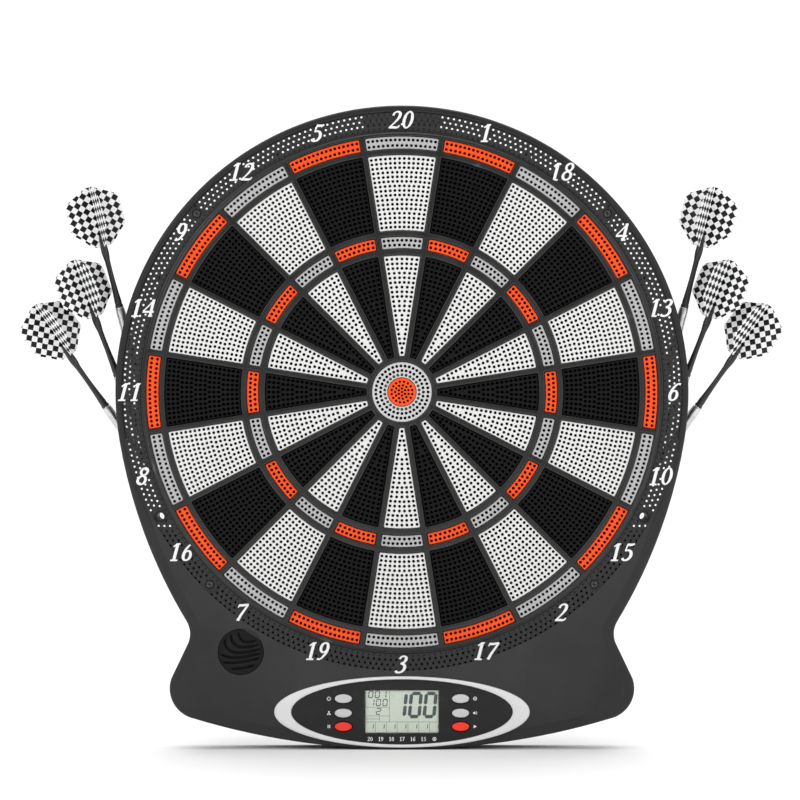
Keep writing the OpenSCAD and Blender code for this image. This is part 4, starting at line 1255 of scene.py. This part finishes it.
def barrel_profile():
    """Tapered nose, rings of grip grooves in three runs, and a plain waist between them."""
    start, end = TIP_L, TIP_L + BARREL_L
    made = [(2.2, start), (2.4, start + 0.2), (2.75, start + 3), (3.1, start + 6.5), (3.2, start + 7.5)]
    for run, count in ((start + 9, 8), (start + 22, 5), (start + 33, 6)):
        for k in range(count):
            h = run + 1.5 * k
            made += [(3.2, h), (2.88, h + 0.18), (2.88, h + 0.62), (3.2, h + 0.8)]
    made += [(3.2, end - 4), (3.05, end - 1.6), (2.9, end - 0.3), (2.7, end)]
    return made


def shaft_profile():
    z = TIP_L + BARREL_L
    return [(2.5, z), (2.7, z + 0.3), (2.7, z + 1.6), (2.35, z + 2.2), (2.35, z + 3), (2.45, z + 3.6),
            (2.1, z + 9), (1.75, z + 18), (1.7, z + 25), (1.8, z + 32), (2.25, z + 35.5), (2.5, z + 38),
            (2.4, z + 41), (1.9, z + 47), (1.55, z + SHAFT_L - 0.3), (1.2, z + SHAFT_L)]


def flight_mesh(name):
    """Four thin wings that meet on the axis, bowed a little as folded film is."""
    shape = Shape()
    z0 = TIP_L + BARREL_L + SHAFT_L - 8
    # Outer edge of a wing, as parts of its width and millimetres up the flight
    outline = ((0.18, 0), (0.38, 1), (0.53, 4), (0.68, 7.1), (0.82, 9.4), (0.96, 11.8), (1, 13), (1, 20.5),
               (1, 28), (0.97, 31), (0.91, 33.2), (0.76, 34.7), (0.60, 36.2), (0.33, 39),
               (0.10, FLIGHT_L - 0.1))
    edge = [(WING_W * r, z0 + h) for r, h in outline]
    half = 0.2        # of the film's thickness
    rows = 8
    for k in range(4):
        turn = Matrix.Rotation(k * pi / 2, 3, "Z")
        sheets = []
        for side in (-half, half):
            grid = []
            for r, z in edge:
                line = []
                for j in range(rows + 1):
                    x = r * j / rows
                    bend = 0.25 * sin(pi * (z - z0) / FLIGHT_L) * (x / WING_W) ** 2
                    line.append(len(shape.points))
                    shape.points.append(tuple(turn @ Vector((x, side + bend, z))))
                grid.append(line)
            sheets.append(grid)
        for grid in sheets:
            for a, b in zip(grid, grid[1:]):
                for j in range(rows):
                    shape.face((a[j], a[j + 1], b[j + 1], b[j]))
        one, two = sheets
        for i in range(len(edge) - 1):
            shape.face((one[i][-1], one[i + 1][-1], two[i + 1][-1], two[i][-1]))
            shape.face((one[i][0], two[i][0], two[i + 1][0], one[i + 1][0]))
        for end in (0, -1):
            for j in range(rows):
                shape.face((one[end][j], one[end][j + 1], two[end][j + 1], two[end][j]))
    return mesh_of(shape, name, axis_up=True)


def build_darts():
    tip_profile = [(0.35, 0), (0.55, 0.5), (0.8, 1.2), (1.2, 12), (1.3, 20), (2.1, TIP_L - 2.4),
                   (2.3, TIP_L - 1.8), (2.3, TIP_L)]
    kinds = (("tip", "shaft_black", TIP, turned_mesh("tip", tip_profile, 24)),
             ("barrel", "barrel_steel", BARREL, turned_mesh("barrel", barrel_profile())),
             ("shaft", "shaft_black", SHAFT, turned_mesh("shaft", shaft_profile())),
             ("flight", "flight_film", FILM, flight_mesh("flight")))
    for side in ("left", "right"):
        for i in range(3):
            node = f"dart_{side}_{i + 1}"
            for kind, slot, material, mesh in kinds:
                mesh = mesh.copy()
                mesh.transform(Matrix.Rotation(radians(TURNS[side][i]), 4, "Z"))
                add(mesh, f"{kind}_{side}_{i + 1}", node, [material], [node], dart_place(side, i))


# ---- Behind ----

def coat_cad_nodes():
    """Materials for the CAD nodes that stay in view."""
    finishes = {
        "rear_cover": COVER, "rubber_mat": RUBBER, "sensor_film": TRACKS, "backing_board": BOARD,
        "main_board": PCB, "button_mat": SILICONE, "ribbon_cable": TRACKS, "speaker": CONE, "wires": WIRE,
        "battery_door": COVER, "batteries": JACKET, "battery_contacts": CONTACT,
        "dart_holder_left": COVER, "dart_holder_right": COVER, "hanger_plate": COATED, "wall_pads": RUBBER,
    }
    for name, material in finishes.items():
        node = frame["nodes"].get(name)
        if node:
            node.data.materials.clear()
            node.data.materials.append(material)


# ---- Studio ----

SUN_WAY, SUN_WIDTH, SUN_POWER = (0, -0.27, -1), radians(75), 2.6
LAMPS = (("key", (-1.5, -1.6, 1.1), 17), ("fill", (1.6, -1.5, 0.9), 14))
LAMP_SIZE = 1.4
WORLD_LIGHT, WORLD_SEEN = 0.32, 1.1
CAMERA_PLACE, CAMERA_LENS = (-0.0013, -1.8804, -0.0053), 125.2


def build_floor():
    """Pale floor at the board's foot, far larger than the view."""
    z = CAD_BOX[0][2]
    mesh = bpy.data.meshes.new("floor")
    mesh.from_pydata([(-40, -6, z), (40, -6, z), (40, 90, z), (-40, 90, z)], [], [(0, 1, 2, 3)])
    floor = put("floor", mesh)
    paint = Paint("studio_floor")
    cloud = paint.remap(paint.noise(3), 0.3, 0.7, 0.0, 1.0)
    paint.set(Base_Color=paint.mix(cloud, (0.93, 0.93, 0.93), (0.95, 0.95, 0.95)), Roughness=0.9,
              Specular_IOR_Level=0.0)
    mesh.materials.append(paint.material)


def build_world():
    """White surroundings, brighter to the camera than to the board."""
    world = bpy.data.worlds.new("studio")
    bpy.context.scene.world = world
    world.use_nodes = True
    tree = world.node_tree
    background = tree.nodes["Background"]
    background.inputs["Color"].default_value = (1, 1, 1, 1)
    sight = tree.nodes.new("ShaderNodeLightPath")
    strength = tree.nodes.new("ShaderNodeMapRange")
    strength.inputs["To Min"].default_value = WORLD_LIGHT
    strength.inputs["To Max"].default_value = WORLD_SEEN
    tree.links.new(sight.outputs["Is Camera Ray"], strength.inputs["Value"])
    tree.links.new(strength.outputs["Result"], background.inputs["Strength"])


def put_lamp(name, kind, way, power):
    """Lamp that shines along a direction."""
    light = bpy.data.lights.new(name, kind)
    light.energy = power
    lamp = put(name, light)
    lamp.rotation_euler = Vector(way).to_track_quat("-Z", "Y").to_euler()
    return lamp


def build_lamps():
    put_lamp("overhead", "SUN", SUN_WAY, SUN_POWER).data.angle = SUN_WIDTH
    for name, place, power in LAMPS:
        lamp = put_lamp(name, "AREA", -Vector(place), power)
        lamp.location = place
        lamp.data.size = LAMP_SIZE


def build_camera():
    """Level camera in front of the board, a little left of and below the bull."""
    camera = bpy.data.cameras.new("camera")
    camera.lens = CAMERA_LENS
    camera.sensor_width = 36
    made = put("camera", camera)
    made.location = CAMERA_PLACE
    made.rotation_euler = (pi / 2, 0, 0)
    bpy.context.scene.camera = made
    bpy.context.scene.view_settings.view_transform = "Standard"


build_camera()
coat_cad_nodes()
build_segments()
build_bulls()
build_spider()
build_number_ring()
build_numbers()
build_screws()
build_rim()
build_base()
build_shoulder_wall()
build_trim()
build_panel()
build_panel_print()
build_display()
build_buttons()
build_grille()
build_darts()
build_floor()
build_world()
build_lamps()
